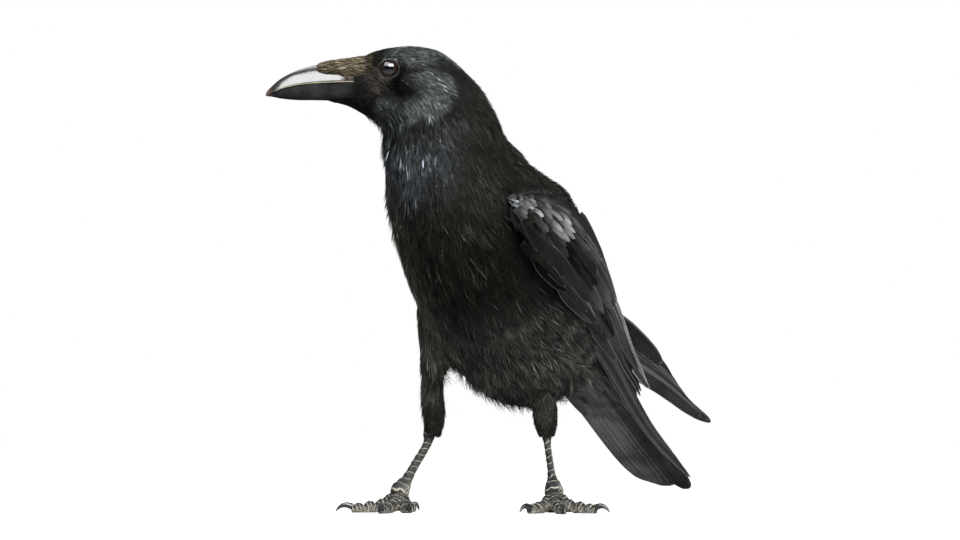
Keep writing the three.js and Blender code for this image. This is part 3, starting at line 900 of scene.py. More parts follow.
def lay_vanes(name, vanes, columns, rows, patches=None):
    """Joined long feathers from their lines; patches are their roots on the bake map."""
    blank, blank_faces = vane_template(columns, rows)
    across, along, under = blank[:, 0], blank[:, 1], -blank[:, 2]
    spots, vane_map, patch, shade, tones, faces = [], [], [], [], [], []
    cells = math.ceil(math.sqrt(len(vanes)))
    for number, item in enumerate(vanes):
        steps = len(item.line) - 1
        at = along * steps
        low = np.minimum(at.astype(int), steps - 1)
        part = (at - low)[:, None]
        middle = item.line[low] * (1 - part) + item.line[low + 1] * part
        normal = item.normals[low] * (1 - part) + item.normals[low + 1] * part
        slopes = np.gradient(item.line, axis=0)
        ahead = unit_rows(slopes[low] * (1 - part) + slopes[low + 1] * part)
        side = unit_rows(np.cross(ahead, normal))
        normal = np.cross(side, ahead)
        shape = item.root_width + (1 - item.root_width) * np.sin(np.clip(along / 0.3, 0, 1) * math.pi / 2)
        shape = shape * np.sqrt(np.clip(1 - along ** item.blunt, 0, 1))
        wide = np.where(across > 0, 2 * (1 - item.inner), 2 * item.inner) * item.width / 2
        reach = across * wide * shape
        ridge = 0.35 * np.exp(-(across / 0.14) ** 2) * (1 - along)
        height = ridge - item.hollow * item.width / 2 * across ** 2 * shape
        thick = item.thick * (0.35 + 0.65 * (1 - np.abs(across)))
        point = middle + side * reach[:, None] + normal * (height - under * thick)[:, None]
        spots.append(place(point))
        own_map = np.stack(((across + 1) / 2, along), axis=1)
        vane_map.append(own_map)
        if patches is None:
            cell = np.array((number % cells, number // cells))
            patch.append((cell + 0.05 + own_map * 0.9) / cells)
        else:
            patch.append(patches[number] + (own_map - 0.5) * PATCH)
        shade.append(np.full(len(blank), item.shade))
        tones.append(np.array(item.tone) * np.where(under > 0.5, 1.0, item.top)[:, None])
        faces.append(blank_faces + number * len(blank))
    mesh = array_mesh(name, np.concatenate(spots), [np.concatenate(faces)], np.concatenate(vane_map),
                      np.concatenate(patch))
    set_number(mesh, "shade", np.concatenate(shade))
    set_colour(mesh, "marking", np.concatenate(tones))
    return bpy.data.objects.new(name, mesh)


class Slab:
    """Curved slab through stations (x, y, z, up, down, half, lean, roll, camber), as wings are built."""

    def __init__(self, stations, side=-1, shift=(0.0, 0.0, 0.0), cover=None, clear=2.6, sunk=0.0):
        self.stations = np.array(stations, dtype=float)
        self.side = side
        self.shift = np.array(shift)
        self.cover = cover
        self.clear = clear
        self.sunk = sunk

    def point(self, along, across, lift=0.0):
        """Point on the outer face and the outward direction, in millimetres."""
        x, y, z, up, down, half, lean, roll, camber = track(self.stations, along)
        lift = lift - self.sunk * float(smooth_step(0.15, 0.42, along) * smooth_step(0.85, 0.58, along))
        lean, roll = math.radians(lean), math.radians(roll)
        out = np.array((math.sin(roll) * math.sin(lean), -math.cos(roll), math.sin(roll) * math.cos(lean)))
        rise = np.array((math.cos(roll) * math.sin(lean), math.sin(roll), math.cos(roll) * math.cos(lean)))
        inside = min(max(across, -1.0), 1.0)
        reach = across * (up if across > 0 else down)
        face = half * max(0.0, 1 - abs(inside) ** 2.6) ** (1 / 2.6)
        point = np.array((x, y, z)) + rise * reach + out * (face + camber * (1 - inside ** 2) + lift)
        slope = math.radians(-inside * min(60.0, 3.0 * camber + 4 * half))
        facing = out * math.cos(slope) - rise * math.sin(slope)
        flip = np.array((1.0, -1.0 if self.side > 0 else 1.0, 1.0))
        point, facing = point * flip + self.shift, facing * flip
        if self.cover is not None:
            found = self.cover.tree.find_nearest(Vector(place(point)))
            near = to_mm(np.array(found[0]))
            normal = np.array(found[1])
            gap = (point - near) @ normal
            if gap < self.clear + lift:
                point = near + normal * (self.clear + lift)
                facing = facing * 0.4 + normal * 0.6
                facing /= np.linalg.norm(facing)
        return point, facing

    def line(self, start, end, lift_start, lift_end, steps=8, ease=1.0):
        """Middles and normals of a feather from one (along, across) to another."""
        spots, normals = [], []
        for share in np.linspace(0, 1, steps + 1):
            along = start[0] + (end[0] - start[0]) * share
            across = start[1] + (end[1] - start[1]) * share
            spot, normal = self.point(along, across, lift_start + (lift_end - lift_start) * share ** ease)
            spots.append(spot)
            normals.append(normal)
        return np.array(spots), np.array(normals)


WING = (
    (-64, -31, 171, 7, 8, 5, 40, 30, 2), (-58, -32, 168, 18, 17, 8, 38, 30, 4),
    (-38, -33, 161, 30, 26, 9, 34, 31, 8.5), (-8, -33, 148, 37, 30, 9, 30, 33, 12),
    (24, -32, 130, 37, 27, 8.5, 28, 35, 12), (56, -27, 110, 29, 22, 7, 27, 38, 9),
    (86, -21, 90, 20, 15, 4.5, 27, 42, 6), (112, -18, 73, 12, 9, 2.4, 27, 45, 3),
    (130, -16, 61, 4, 4, 1.2, 27, 45, 1),
)
RIGHT_TUCK = (11.0, -4.0, 0.0)
LEFT_PRIMARIES = (
    (25, -36, 101, 8, 6, 1.6, 27, 15, 1), (60, -31, 84, 13, 9, 2.2, 27, 18, 2),
    (95, -24, 66, 10.5, 10, 2.2, 27, 22, 2), (130, -19, 48, 5.8, 9, 1.9, 27, 26, 1.5),
    (165, -17, 31.5, 5.0, 6, 1.4, 27, 28, 1), (192, -16, 18.5, 2.4, 2.2, 0.8, 27, 28, 0.4),
)
RIGHT_PRIMARIES = (
    (30, -34, 117, 8, 6, 1.6, 26, 20, 1), (65, -23, 108, 13, 10, 2.2, 26, 26, 2),
    (102, -4, 100, 15, 13, 2.2, 26, 30, 2), (138, 9, 84, 12, 13, 2, 26, 28, 2),
    (172, 12.5, 70, 8.5, 9, 1.7, 26, 26, 1.5), (206, 11, 57, 5, 5, 1.2, 26, 26, 1),
    (231, 10.5, 49.5, 1.6, 1.4, 0.7, 26, 26, 0.2),
)
TAIL = (
    (66, 2.5, 92, 13, 12, 5, 28, 90, 0), (100, 4, 75, 17, 15, 3.6, 28, 90, 2),
    (140, 6, 53.5, 20, 17, 2.2, 28, 90, 3), (180, 8, 31.5, 21, 18, 1.7, 28, 90, 3),
    (206, 9, 17.5, 19, 17, 1.3, 28, 90, 3), (222, 9, 9.5, 13, 13, 0.9, 28, 90, 2),
)


def lofted(around, along, point_at):
    """bmesh of a closed loft through point_at(turn, share), in millimetres, both from 0 to 1."""
    sheet = bmesh.new()
    bmesh.ops.create_grid(sheet, x_segments=around, y_segments=along, size=0.5)
    for vertex in sheet.verts:
        vertex.co = place(point_at(vertex.co.x + 0.5, vertex.co.y + 0.5))
    bmesh.ops.remove_doubles(sheet, verts=sheet.verts, dist=0.004 * MM)
    bmesh.ops.recalc_face_normals(sheet, faces=sheet.faces)
    return sheet


def track(rows, share):
    """Smooth row of numbers at a share of the way through a table."""
    last = len(rows) - 1
    at = min(max(share, 0.0), 1.0) * last
    low = min(int(at), last - 1)
    part = at - low
    first, second = rows[low], rows[low + 1]
    before = rows[low - 1] if low > 0 else 2 * first - second
    after = rows[low + 2] if low + 2 <= last else 2 * second - first
    rise_first = (second - before) / 2
    rise_second = (after - first) / 2
    return (first + rise_first * part + (3 * (second - first) - 2 * rise_first - rise_second) * part ** 2
            + (2 * (first - second) + rise_first + rise_second) * part ** 3)


# Rows of both bills: forward from between the eyes, top, bottom and half width, in millimetres.
UPPER_BILL = np.array((
    (66.3, -13.3, -14.4, 0.35), (65.3, -11.5, -14.1, 1.1), (63.0, -9.1, -12.9, 2.0), (58.0, -4.9, -10.8, 3.4),
    (49.5, -0.6, -8.9, 5.0), (39.0, 2.4, -7.9, 6.3), (29.0, 4.0, -7.6, 8.2), (24.0, 3.6, -7.6, 10.1),
    (20.0, 2.5, -7.8, 12.4), (14.0, 0.5, -8.4, 15.9),
))
LOWER_BILL = np.array((
    (65.6, -13.7, -14.5, 0.4), (64.0, -12.7, -14.6, 1.1), (61.0, -11.4, -15.1, 1.9),
    (57.5, -10.4, -15.8, 2.8), (49.5, -8.7, -16.5, 4.3), (39.0, -7.7, -16.6, 5.8),
    (29.0, -7.4, -16.8, 7.3), (24.0, -7.5, -16.9, 9.5), (20.0, -7.7, -17.0, 11.8),
    (14.0, -8.4, -16.8, 15.4),
))


def bare_face(points):
    """1 where the head carries no feathers: eye openings and the bill's root."""
    forward, rise, aside = near_head(points)
    wide = np.hypot(forward / 6.6, (rise + 0.8) / 6.0) < 1
    socket = wide & (np.abs(aside) > 9)
    top = np.interp(forward, (14.5, 16, 20, 27, 40), (-6.4, -5.6, -4.6, -5.4, -3.0))
    bill = (forward > 15.2) & (rise < top) & (rise > -16.4)
    return socket | bill


class CROW_OT_bristles(bpy.types.Operator):
    """Bristles lying forward over the bill's root, and the fine hairs of lores and gape"""

    bl_idname = "crow.bristles"
    bl_label = "Bristles"

    def execute(self, context):
        surface = Surface(bpy.data.objects["skin"])
        look = plumage_material("nose_bristles", rough=0.4, tip_gain=0.5)

        def nose(points):
            forward, rise, aside = near_head(points)
            return smooth_step(10, 15, forward) * smooth_step(-6.6, -5.6, rise) * (forward < 38.5)

        def ahead(points, normals):
            forward, rise, aside = near_head(points)
            up = 0.25 * smooth_step(22, 12, forward)[:, None]
            sink = (0.30 * smooth_step(1, -4, rise) * smooth_step(24, 29, forward))[:, None]
            way = HEAD_FORWARD + UP * up - UP * (0.06 + sink)
            return along_surface(way - HEAD_LEFT * (0.18 * np.sign(aside))[:, None], normals)

        def reach(points):
            return np.clip((40.5 - near_head(points)[0]) / 6.0, 0.25, 1.0)

        def olive(points):
            tone = np.array(colours().bristle)
            dark = np.random.default_rng(SEED + 71).random(len(points)) < 0.35
            return np.where(dark[:, None], tone * 0.22, tone)

        def gape(points):
            forward, rise, aside = near_head(points)
            back = 12.2 + 0.25 * (rise + 12)
            share = smooth_step(3.2, 1.5, np.abs(forward - back)) * smooth_step(-4, -6, rise)
            return share * smooth_step(-19.5, -17.5, rise) * (np.abs(aside) > 6)

        def over_bill(points, normals):
            return along_surface(HEAD_FORWARD * 0.9 - UP * 0.28, normals)

        def black(points):
            return np.full((len(points), 3), 0.0035)

        def lores(points):
            forward, rise, aside = near_head(points)
            near = smooth_step(9.5, 5, np.hypot(forward - 9, (rise + 6.5) * 1.1))
            return near * (np.abs(aside) > 5) * (1 - bare_face(points))

        def down(points, normals):
            drop = 0.45 + 0.05 * np.clip(12 - near_head(points)[0], 0, 12)
            return along_surface(-HEAD_FORWARD * 0.8 - UP * drop[:, None], normals)

        def pale(points):
            share = np.random.default_rng(SEED + 75).random(len(points))[:, None]
            return np.array((0.10, 0.075, 0.058)) * (1 - share) + np.array((0.22, 0.21, 0.20)) * share ** 3

        tuft_piece("nose_bristles", surface, look,
                   Tuft(6.0, 0.5, 1, 0.26, turn=0.15, contrast=0.7, root=0.25),
                   (coat().bristles, nose, 0.36), (70, 72), reach, 1.1, ahead, olive)
        tuft_piece("gape_hairs", surface, look, Tuft(3.9, 0.7, 2, 0.3, turn=0.3, contrast=0.6, root=1.0),
                   (900, gape, 0.3), (76, 77), 1.0, 1.6, over_bill, black)
        tuft_piece("lore_hairs", surface, look, Tuft(5.5, 0.3, 1, 0.14, turn=0.2, root=0.5),
                   (420, lores, 0.4), (73, 74), 1.0, 1.5, down, pale)
        return {"FINISHED"}


WING_LENGTH = 223.0                # millimetres along the wing's middle
# Rows of feathers: tip's share of the wing, length and width in millimetres, lowest and highest across.
COVERT_ROWS = (
    (0.600, 50, 10.5, -1.10, 0.60), (0.470, 34, 10.0, -1.10, 0.75), (0.40, 27, 9.2, -1.10, 0.85),
    (0.34, 22, 7.6, -1.10, 0.90), (0.30, 19, 7.0, -1.08, 0.95), (0.26, 17, 6.6, -1.04, 0.95),
    (0.225, 15, 6.2, -0.98, 0.8), (0.19, 14, 5.8, -0.90, 0.7), (0.155, 12, 5.4, -0.82, 0.5),
    (0.125, 11, 5.0, -0.74, 0.3), (0.095, 10, 4.7, -0.68, 0.1), (0.065, 8.5, 4.3, -0.62, -0.1),
)
SCAPULAR_ROWS = (
    (0.64, 40, 12.0, 0.30, 0.85), (0.56, 36, 12.0, 0.25, 0.88), (0.48, 33, 12.0, 0.22, 0.9),
    (0.40, 30, 11.5, 0.22, 0.9), (0.32, 27, 11.0, 0.25, 0.88), (0.26, 26, 10.0, 0.30, 0.86),
    (0.21, 24, 9.0, 0.32, 0.80), (0.16, 22, 8.5, 0.30, 0.64),
)


# ------------------------------------------------------------------ operators

class CROW_OT_skin(bpy.types.Operator):
    """Skin of head, neck, trunk and thighs in one piece, under the coat's depth"""

    bl_idname = "crow.skin"
    bl_label = "Skin"

    lids_plane = 13.6              # millimetres from the head's middle plane to the skin round an eye
    # Extra depth in millimetres: how much, round which place, how far.
    before_shoulders = ((3.4, (-12.0, -26.0, 188.0), 27), (3.4, (-12.0, 32.0, 188.0), 27),
                        (-2.4, (10.0, -31.0, 171.0), 17), (2.4, (-21.0, 49.0, 54.0), 15),
                        (1.2, (-26.0, 46.0, 108.0), 14))
    # Creases of the far thigh that are evened out: middle and radius in millimetres.
    creases = (((-26.0, 42.5, 111.5), 14), ((-11.5, 48.5, 110.5), 10))

    def execute(self, context):
        settings = coat()
        nodes = ("head", "neck", "trunk", "thigh_left", "thigh_right")
        skin = remeshed("skin", nodes, 0.35 * MM, settings.skin_detail, 6)
        mesh = skin.data
        spots = vector_array(mesh, "co")
        at = to_mm(spots)
        forward, rise, aside = near_head(at)
        in_head = smooth_step(-48, -22, forward) * smooth_step(-52, -34, rise)
        leg = smooth_step(66, 56, at[:, 2]) * smooth_step(45, 25, np.abs(at[:, 0]))
        depth = settings.coat_depth * (1 - in_head) + settings.face_depth * in_head
        depth = depth * (1 - 0.8 * leg) + 0.3 * MM
        for deeper, middle, radius in self.before_shoulders:
            depth = depth + deeper * MM * blob(at, middle, radius, 0.9)
        spots = spots - vector_array(mesh, "normal") * depth[:, None]
        forward, rise, aside = near_head(to_mm(spots))
        sink = smooth_step(8.2, 5.4, np.hypot(forward, rise + 0.8))
        deep = np.clip(np.abs(aside) - self.lids_plane, 0, None) * sink * np.sign(aside)
        move_vertices(mesh, spots - HEAD_LEFT * (deep * MM)[:, None])
        shape = bmesh.new()
        shape.from_mesh(mesh)
        for middle, radius in self.creases:
            crease = Vector(place(middle))
            folded = [vertex for vertex in shape.verts if (vertex.co - crease).length < radius * MM]
            smooth_shape(shape, folded, 45)
        shape.to_mesh(mesh)
        shape.free()
        mesh.update()
        unwrap(skin)
        set_colour(mesh, "marking", markings(to_mm(vector_array(mesh, "co"))))
        finish_piece(skin, nodes, skin_material())
        return {"FINISHED"}


class CROW_OT_eyes(bpy.types.Operator):
    """Both eyeballs, with their lids of bare skin and the pale grains round them"""

    bl_idname = "crow.eyes"
    bl_label = "Eyes"

    opening_wide = 4.85            # millimetres from the eye's middle to the lid at each side
    opening_tall = 4.3
    lid_out = 2.4                  # how far the lid reaches outwards from its edge
    grains = 58                    # pale grains round each eye

    def execute(self, context):
        wet = eye_material()
        lid_look, grain_look = lid_material(), grain_material()
        for name, sign in (("left", 1), ("right", -1)):
            node_name = f"eye_{name}"
            middle = Vector(box_middle(node_name))
            low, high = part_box(node_name)
            radius = (high[2] - low[2]) / 2
            axis = Vector(HEAD_LEFT * sign).normalized()
            turn = Vector((0, 0, 1)).rotation_difference(axis).to_matrix().to_4x4()
            turn.translation = middle
            ball = bmesh.new()
            bmesh.ops.create_uvsphere(ball, u_segments=48, v_segments=32, radius=radius, matrix=turn)
            mesh = shape_piece(ball, f"eyeball_{name}", (node_name,), wet).data
            away = vector_array(mesh, "co") - np.array(middle)
            along = away @ np.array(axis)
            reach = np.linalg.norm(away - along[:, None] * np.array(axis), axis=1) / radius
            set_number(mesh, "reach", np.where(along > 0, reach, 1.0))
            frame_axes = (np.array(middle), np.array(axis), radius / MM)
            self.make_lid(name, frame_axes, lid_look)
            self.make_grains(name, frame_axes, grain_look)
        return {"FINISHED"}

    def lid_point(self, axes, angle, out, lift):
        """Point of the lid: out millimetres beyond the opening's edge, lift above the ball."""
        middle, axis, radius = axes
        wide, tall = self.opening_wide + out, self.opening_tall + out
        beside, above = math.cos(angle) * wide, math.sin(angle) * tall
        gap = math.hypot(beside, above)
        deep = math.sqrt(max((radius + lift) ** 2 - gap ** 2, 0.1)) if gap < radius + lift - 0.4 else 0.0
        flare = np.clip((gap - 4.6) / 2.5, 0, 1)
        deep = deep * (1 - flare) + (3.1 - 0.1 * (gap - 5)) * flare + lift * flare * 0.3
        across = np.cross(UP, axis)
        return (middle / MM + across * beside + UP * above + axis * deep)

    def make_lid(self, name, axes, look):
        profile = ((0.0, -0.5), (-0.05, 0.12), (0.12, 0.42), (0.45, 0.5), (0.75, 0.36), (0.95, 0.2),
                   (1.25, 0.5), (1.7, 0.45), (self.lid_out, 0.1), (self.lid_out, -1.4), (1.2, -1.2))

        def point_at(turn, share):
            angle = turn * 2 * math.pi
            step = share * len(profile)
            low = int(step) % len(profile)
            part = step - int(step)
            out, lift = (np.array(profile[low]) * (1 - part)
                         + np.array(profile[(low + 1) % len(profile)]) * part)
            fold = 0.10 * math.sin(angle * 23) * math.sin(min(max(out, 0), 2) * math.pi)
            return to_mm(self.lid_point(axes, angle, out, lift + fold) * MM)

        shape_piece(lofted(72, 2 * len(profile), point_at), f"eye_lid_{name}", (), look)

    def make_grains(self, name, axes, look):
        """Makes the row of small pale grains along the lid."""
        grains = bmesh.new()
        rng = np.random.default_rng(SEED + 9)
        for number in range(self.grains):
            angle = (number + rng.uniform(-0.25, 0.25)) / self.grains * 2 * math.pi
            spot = self.lid_point(axes, angle, 0.72 + rng.uniform(-0.08, 0.08), 0.42)
            made = bmesh.ops.create_icosphere(grains, subdivisions=1, radius=rng.uniform(0.13, 0.24) * MM)
            bmesh.ops.translate(grains, verts=made["verts"], vec=Vector(spot * MM))
        shape_piece(grains, f"eye_grains_{name}", (), look)


class CROW_OT_bill(bpy.types.Operator):
    """Upper and lower bill, smooth horn with a pale line at the cutting edge"""

    bl_idname = "crow.bill"
    bl_label = "Bill"

    arch = 0.80                    # share of the upper bill's section that is its visible arch

    def execute(self, context):
        self.make("bill_upper", self.upper_point, bill_material("horn_gloss", 0.19, 1.0, 1.0))
        self.make("bill_lower", self.lower_point, bill_material("horn_matt", 0.42, 0.035, 0.0))
        return {"FINISHED"}

    def upper_point(self, turn, share):
        forward, top, bottom, half = track(UPPER_BILL, share)
        if turn <= self.arch:
            part = (1 - math.cos(math.pi * turn / self.arch)) / 2
            angle = math.pi * (0.5 * part + 0.5 * turn / self.arch)
            lift = math.sin(angle) ** 1.15
            aside = math.copysign(half * (1 - lift ** 1.25) ** 0.72, math.cos(angle))
            rise = bottom + (top - bottom) * lift
            tuck = 0.2 * math.exp(-(lift / 0.05) ** 2)
            aside -= math.copysign(tuck * half / 6, aside)
        else:
            part = (turn - self.arch) / (1 - self.arch)
            aside = -half * math.cos(math.pi * part) * 0.966
            rise = bottom + 1.6 * math.sin(math.pi * part) ** 0.6
        if share in (0.0, 1.0):
            aside, rise = 0.0, (top + bottom) / 2
        return head_point(forward, rise, aside)

    def lower_point(self, turn, share):
        forward, top, bottom, half = track(LOWER_BILL, share)
        angle = 2 * math.pi * turn
        aside = math.copysign(abs(math.cos(angle)) ** 0.7, math.cos(angle)) * (half - 0.1)
        lift = math.sin(angle)
        rise = top + lift * 0.3 if lift > 0 else top + (top - bottom) * -abs(lift) ** 0.85
        if share in (0.0, 1.0):
            aside, rise = 0.0, (top + bottom) / 2
        return head_point(forward, rise, aside)

    def make(self, name, point_at, look):
        mesh = shape_piece(lofted(60, 64, point_at), name + "_horn", (name,), look).data
        forward, rise, aside = near_head(to_mm(vector_array(mesh, "co")))
        edges = np.interp(forward, UPPER_BILL[::-1, 0], UPPER_BILL[::-1, 2])
        close = np.clip(1.4 - np.abs(rise - edges - 0.25) / 0.6, 0, 1)
        close = close * (1.0 if name == "bill_upper" else 0.3)
        set_number(mesh, "edge", close * smooth_step(64.5, 60, forward))
        set_number(mesh, "tip", smooth_step(57, 67, forward))


class CROW_OT_legs(bpy.types.Operator):
    """Shanks and toes with their scales, and the claws"""

    bl_idname = "crow.legs"
    bl_label = "Legs"

    feet = {
        "right": {"ankle": (-12, 39, 40), "foot": (-39, 44.5, 11), "slim": 0.2, "aside": 1.9,
                  "toes": {"outer": (53, 26), "middle": (-14, 33), "inner": (-45, 22), "hind": (172, 19)}},
        "left": {"ankle": (9, -21, 40), "foot": (-8, -35, 11), "slim": 0.55, "aside": 0.0,
                 "toes": {"inner": (8, 22), "middle": (-37, 33), "outer": (-88, 26), "hind": (145, 19)}},
    }
    shank_pitch = 4.6              # millimetres from one scute to the next
    toe_pitch = 2.1
    shank_ridge = 0.30             # height of a scute's edge in millimetres
    toe_ridge = 0.22
    shank_front = (-0.94, 0.34, 0.0)
    slim_way = (-0.5, 0.866, 0.0)  # direction in which a shank is moved by "aside"

    def execute(self, context):
        skin_look, claw_look = scale_material(), claw_material()
        for side, feet in self.feet.items():
            parts = [f"shank_{side}"] + [f"toe_{toe}_{side}" for toe in feet["toes"]]
            foot = remeshed(f"foot_{side}", parts, 0.25 * MM, 0.40 * MM, 2, self.pads(feet))
            self.carve_scales(foot, feet)
            finish_piece(foot, parts, skin_look)
            for toe in feet["toes"]:
                node_name = f"claw_{toe}_{side}"
                claw = remeshed(f"talon_{toe}_{side}", (node_name,), 0.05 * MM, 0.22 * MM, 2)
                finish_piece(claw, (node_name,), claw_look)
        return {"FINISHED"}

    def pads(self, feet):
        """Balls that fill the ankle of the toes and swell each toe at its joints."""
        middle = np.array(feet["foot"], dtype=float)
        above = np.array(feet["ankle"], dtype=float) - middle
        above /= np.linalg.norm(above)
        balls = [(middle + above * 5, 4.3), (middle + above * 1, 5.3), (middle - (0, 0, 4.5), 5.4)]
        for reach in self.toe_lines(feet):
            for share, radius in ((0.16, 4.9), (0.36, 3.7), (0.62, 3.3), (0.86, 2.9)):
                spot = middle * (1, 1, 0) + reach * share
                balls.append((spot + np.array((0, 0, radius - 0.25 + 1.6 * (1 - share) ** 2)), radius))
        return balls

    def toe_lines(self, feet):
        """From the foot's middle to each toe's end, in millimetres."""
        for turn, length in feet["toes"].values():
            angle = math.radians(turn)
            yield np.array((-math.cos(angle), math.sin(angle), 0.0)) * length

    def carve_scales(self, piece, feet):
        """Raises overlapping scutes along shank and toes and stores how far along each point is."""
        mesh = piece.data
        spots = vector_array(mesh, "co")
        at = to_mm(spots)
        normals = vector_array(mesh, "normal")
        best = np.full(len(at), 1e9)
        steps, front, raised = np.zeros((3, len(at)))
        foot = np.array(feet["foot"], dtype=float)
        paths = [(np.array(feet["ankle"], dtype=float) + (0, 0, 4), foot, self.shank_pitch,
                  self.shank_ridge)]
        for reach in self.toe_lines(feet):
            paths.append((foot * (1, 1, 0.6), foot * (1, 1, 0) + reach + (0, 0, 2.0), self.toe_pitch,
                          self.toe_ridge))
        for start, end, pitch, height in paths:
            run = end - start
            size = np.linalg.norm(run)
            free = ((at - start) @ run) / (size * size)
            share = np.clip(free, 0, 1)
            gap = np.linalg.norm(at - (start + share[:, None] * run), axis=1)
            closer = gap < best
            place_along = free * size / pitch
            top = normals[:, 2] if pitch == self.toe_pitch else normals @ np.array(self.shank_front)
            slant = place_along + 0.25 * (1 - np.clip(top, -1, 1))
            best = np.where(closer, gap, best)
            steps = np.where(closer, slant, steps)
            front = np.where(closer, top, front)
            phase = slant - np.floor(slant)
            ledge = height * (phase - 0.5) * (0.35 + 0.65 * smooth_step(-0.2, 0.5, top))
            raised = np.where(closer, ledge, raised)
        under = smooth_step(-0.3, -0.8, normals[:, 2]) * smooth_step(8, 4, at[:, 2])
        raised = raised * (1 - under) * smooth_step(0.3, 1.2, at[:, 2])
        raised = raised - feet["slim"] * smooth_step(16, 24, at[:, 2])
        spots = spots + normals * (raised * MM)[:, None]
        spots += np.array(self.slim_way) * (feet["aside"] * MM * smooth_step(7, 42, at[:, 2]))[:, None]
        spots[:, 2] = np.maximum(spots[:, 2], 0.0)
        move_vertices(mesh, spots)
        set_number(mesh, "steps", steps)
        set_number(mesh, "front", front)
        set_number(mesh, "low", smooth_step(17, 12, at[:, 2]))


class CROW_OT_head_coat(bpy.types.Operator):
    """Short tufts of face, crown and ear coverts"""

    bl_idname = "crow.head_coat"
    bl_label = "Head coat"

    def execute(self, context):
        surface = Surface(bpy.data.objects["skin"])
        look = plumage_material("head_feathers", rough=0.45, tip_gain=1.2)
        # Near-black, almost glossless feathers for the painted shadow below and behind the eyes.
        shadow_look = plumage_material("eye_shadow_feathers", rough=0.7, specular=0.03, sheen=0.002, tip_gain=1.2)

        def face(points):
            forward, rise, aside = near_head(points)
            share = smooth_step(-10, -4, forward) * smooth_step(-40, -30, rise) * (1 - bare_face(points))
            share = share * (1 - painted_eye_shadow(points))
            return share * (1 - smooth_step(10, 14, forward) * smooth_step(-8, -6, rise))

        def rear(points):
            forward, rise, aside = near_head(points)
            share = smooth_step(-48, -38, forward) * smooth_step(-40, -30, rise) * (1 - bare_face(points))
            return share * smooth_step(-2, -8, forward) * (1 - painted_eye_shadow(points))

        # Where the painted shadow below and behind the eyes gets its own black tufts.
        def hollow(points):
            return painted_eye_shadow(points) * (1 - bare_face(points))

        def small(points):
            forward, rise, aside = near_head(points)
            eye = np.hypot(forward, rise + 0.8)
            return (0.62 + 0.38 * smooth_step(7, 14, eye)) * (1.1 - 0.2 * smooth_step(0, 20, forward))

        def stand(points):
            forward, rise, aside = near_head(points)
            ear = ear_reach(forward, rise)
            rim = smooth_step(0.75, 0.98, ear) * smooth_step(1.1, 1.0, ear) * smooth_step(-18, -28, forward)
            rear_crown = smooth_step(-14, -26, forward) * smooth_step(-12, 0, rise)
            return 1.3 + 1.1 * rim + 0.7 * rear_crown

        short = Tuft(4.4, 1.2, 3, 0.33, roll=0.6, turn=0.14, contrast=0.7)
        tuft_piece("face_tufts", surface, look, short, (coat().face_tufts, face, 0.5), (0, 1), small, 0.95)
        tuft_piece("eye_shadow_tufts", surface, shadow_look, short, (coat().eye_shadow_tufts, hollow, 0.5), (78, 79),
                   small, 0.95)
        tuft_piece("crown_tufts", surface, look, Tuft(7.0, 1.6, 3, 0.36, turn=0.10, contrast=0.8),
                   (coat().head_tufts, rear, 0.6), (60, 61), 1.0, stand)
        return {"FINISHED"}


class CROW_OT_neck_coat(bpy.types.Operator):
    """Hair-like feathers of the neck and the pointed throat hackles"""

    bl_idname = "crow.neck_coat"
    bl_label = "Neck coat"

    def execute(self, context):
        surface = Surface(bpy.data.objects["skin"])
        look = plumage_material("neck_feathers", specular=0.13, tip_gain=1.5)
        gloss = plumage_material("throat_hackles", rough=0.36, specular=0.35, tip_gain=2.2,
                                 tint=(0.9, 0.95, 1.0))

        def throat(points):
            forward, rise, aside = near_head(points)
            front = smooth_step(-46, -30, forward + 0.25 * (rise + 40))
            return front * smooth_step(-20, -32, rise) * smooth_step(150, 172, points[:, 2])

        def neck(points):
            forward, rise, aside = near_head(points)
            head = smooth_step(-46, -36, forward) * smooth_step(-40, -28, rise)
            low = smooth_step(158, 176, points[:, 2])
            return low * (1 - head) * (1 - 0.6 * throat(points))

        def neck_stand(points):
            forward, rise, aside = near_head(points)
            rear = smooth_step(-28, -44, forward) * smooth_step(-75, -55, rise)
            breast = smooth_step(-68, -84, points[:, 0]) * smooth_step(190, 176, points[:, 2])
            return 2.2 + 1.2 * rear + 2.6 * breast

        def throat_stand(points):
            forward, rise, aside = near_head(points)
            return 2.0 + 2.6 * smooth_step(20, 7, np.hypot(forward - 7, rise + 31))

        # The lower middle of the throat keeps more of the marking, as a painted highlight; the rest is
        # darkened.
        def hackle_colour(points):
            forward, rise, aside = near_head(points)
            deep = smooth_step(-32, -44, rise) * smooth_step(-30, -16, forward)
            return markings(points) * (0.32 + 0.65 * deep)[:, None]

        tuft_piece("neck_tufts", surface, look,
                   Tuft(11.5, 2.4, 4, 0.5, roll=0.55, turn=0.14, contrast=0.6, pale=0.02, pale_gain=4.0),
                   (coat().neck_tufts, neck, 1.0), (2, 3), 1.0, neck_stand)
        # About an eighth of the hackle blades are painted six times paler, as painted glints of their gloss.
        tuft_piece("throat_hackles", surface, gloss,
                   Tuft(12.0, 2.2, 5, 0.5, roll=0.4, turn=0.24, contrast=1.05, spread=0.45, pale=0.12,
                        pale_gain=6.0),
                   (coat().hackles, throat, 1.9), (62, 63), 1.0, throat_stand, lie, hackle_colour)
        return {"FINISHED"}


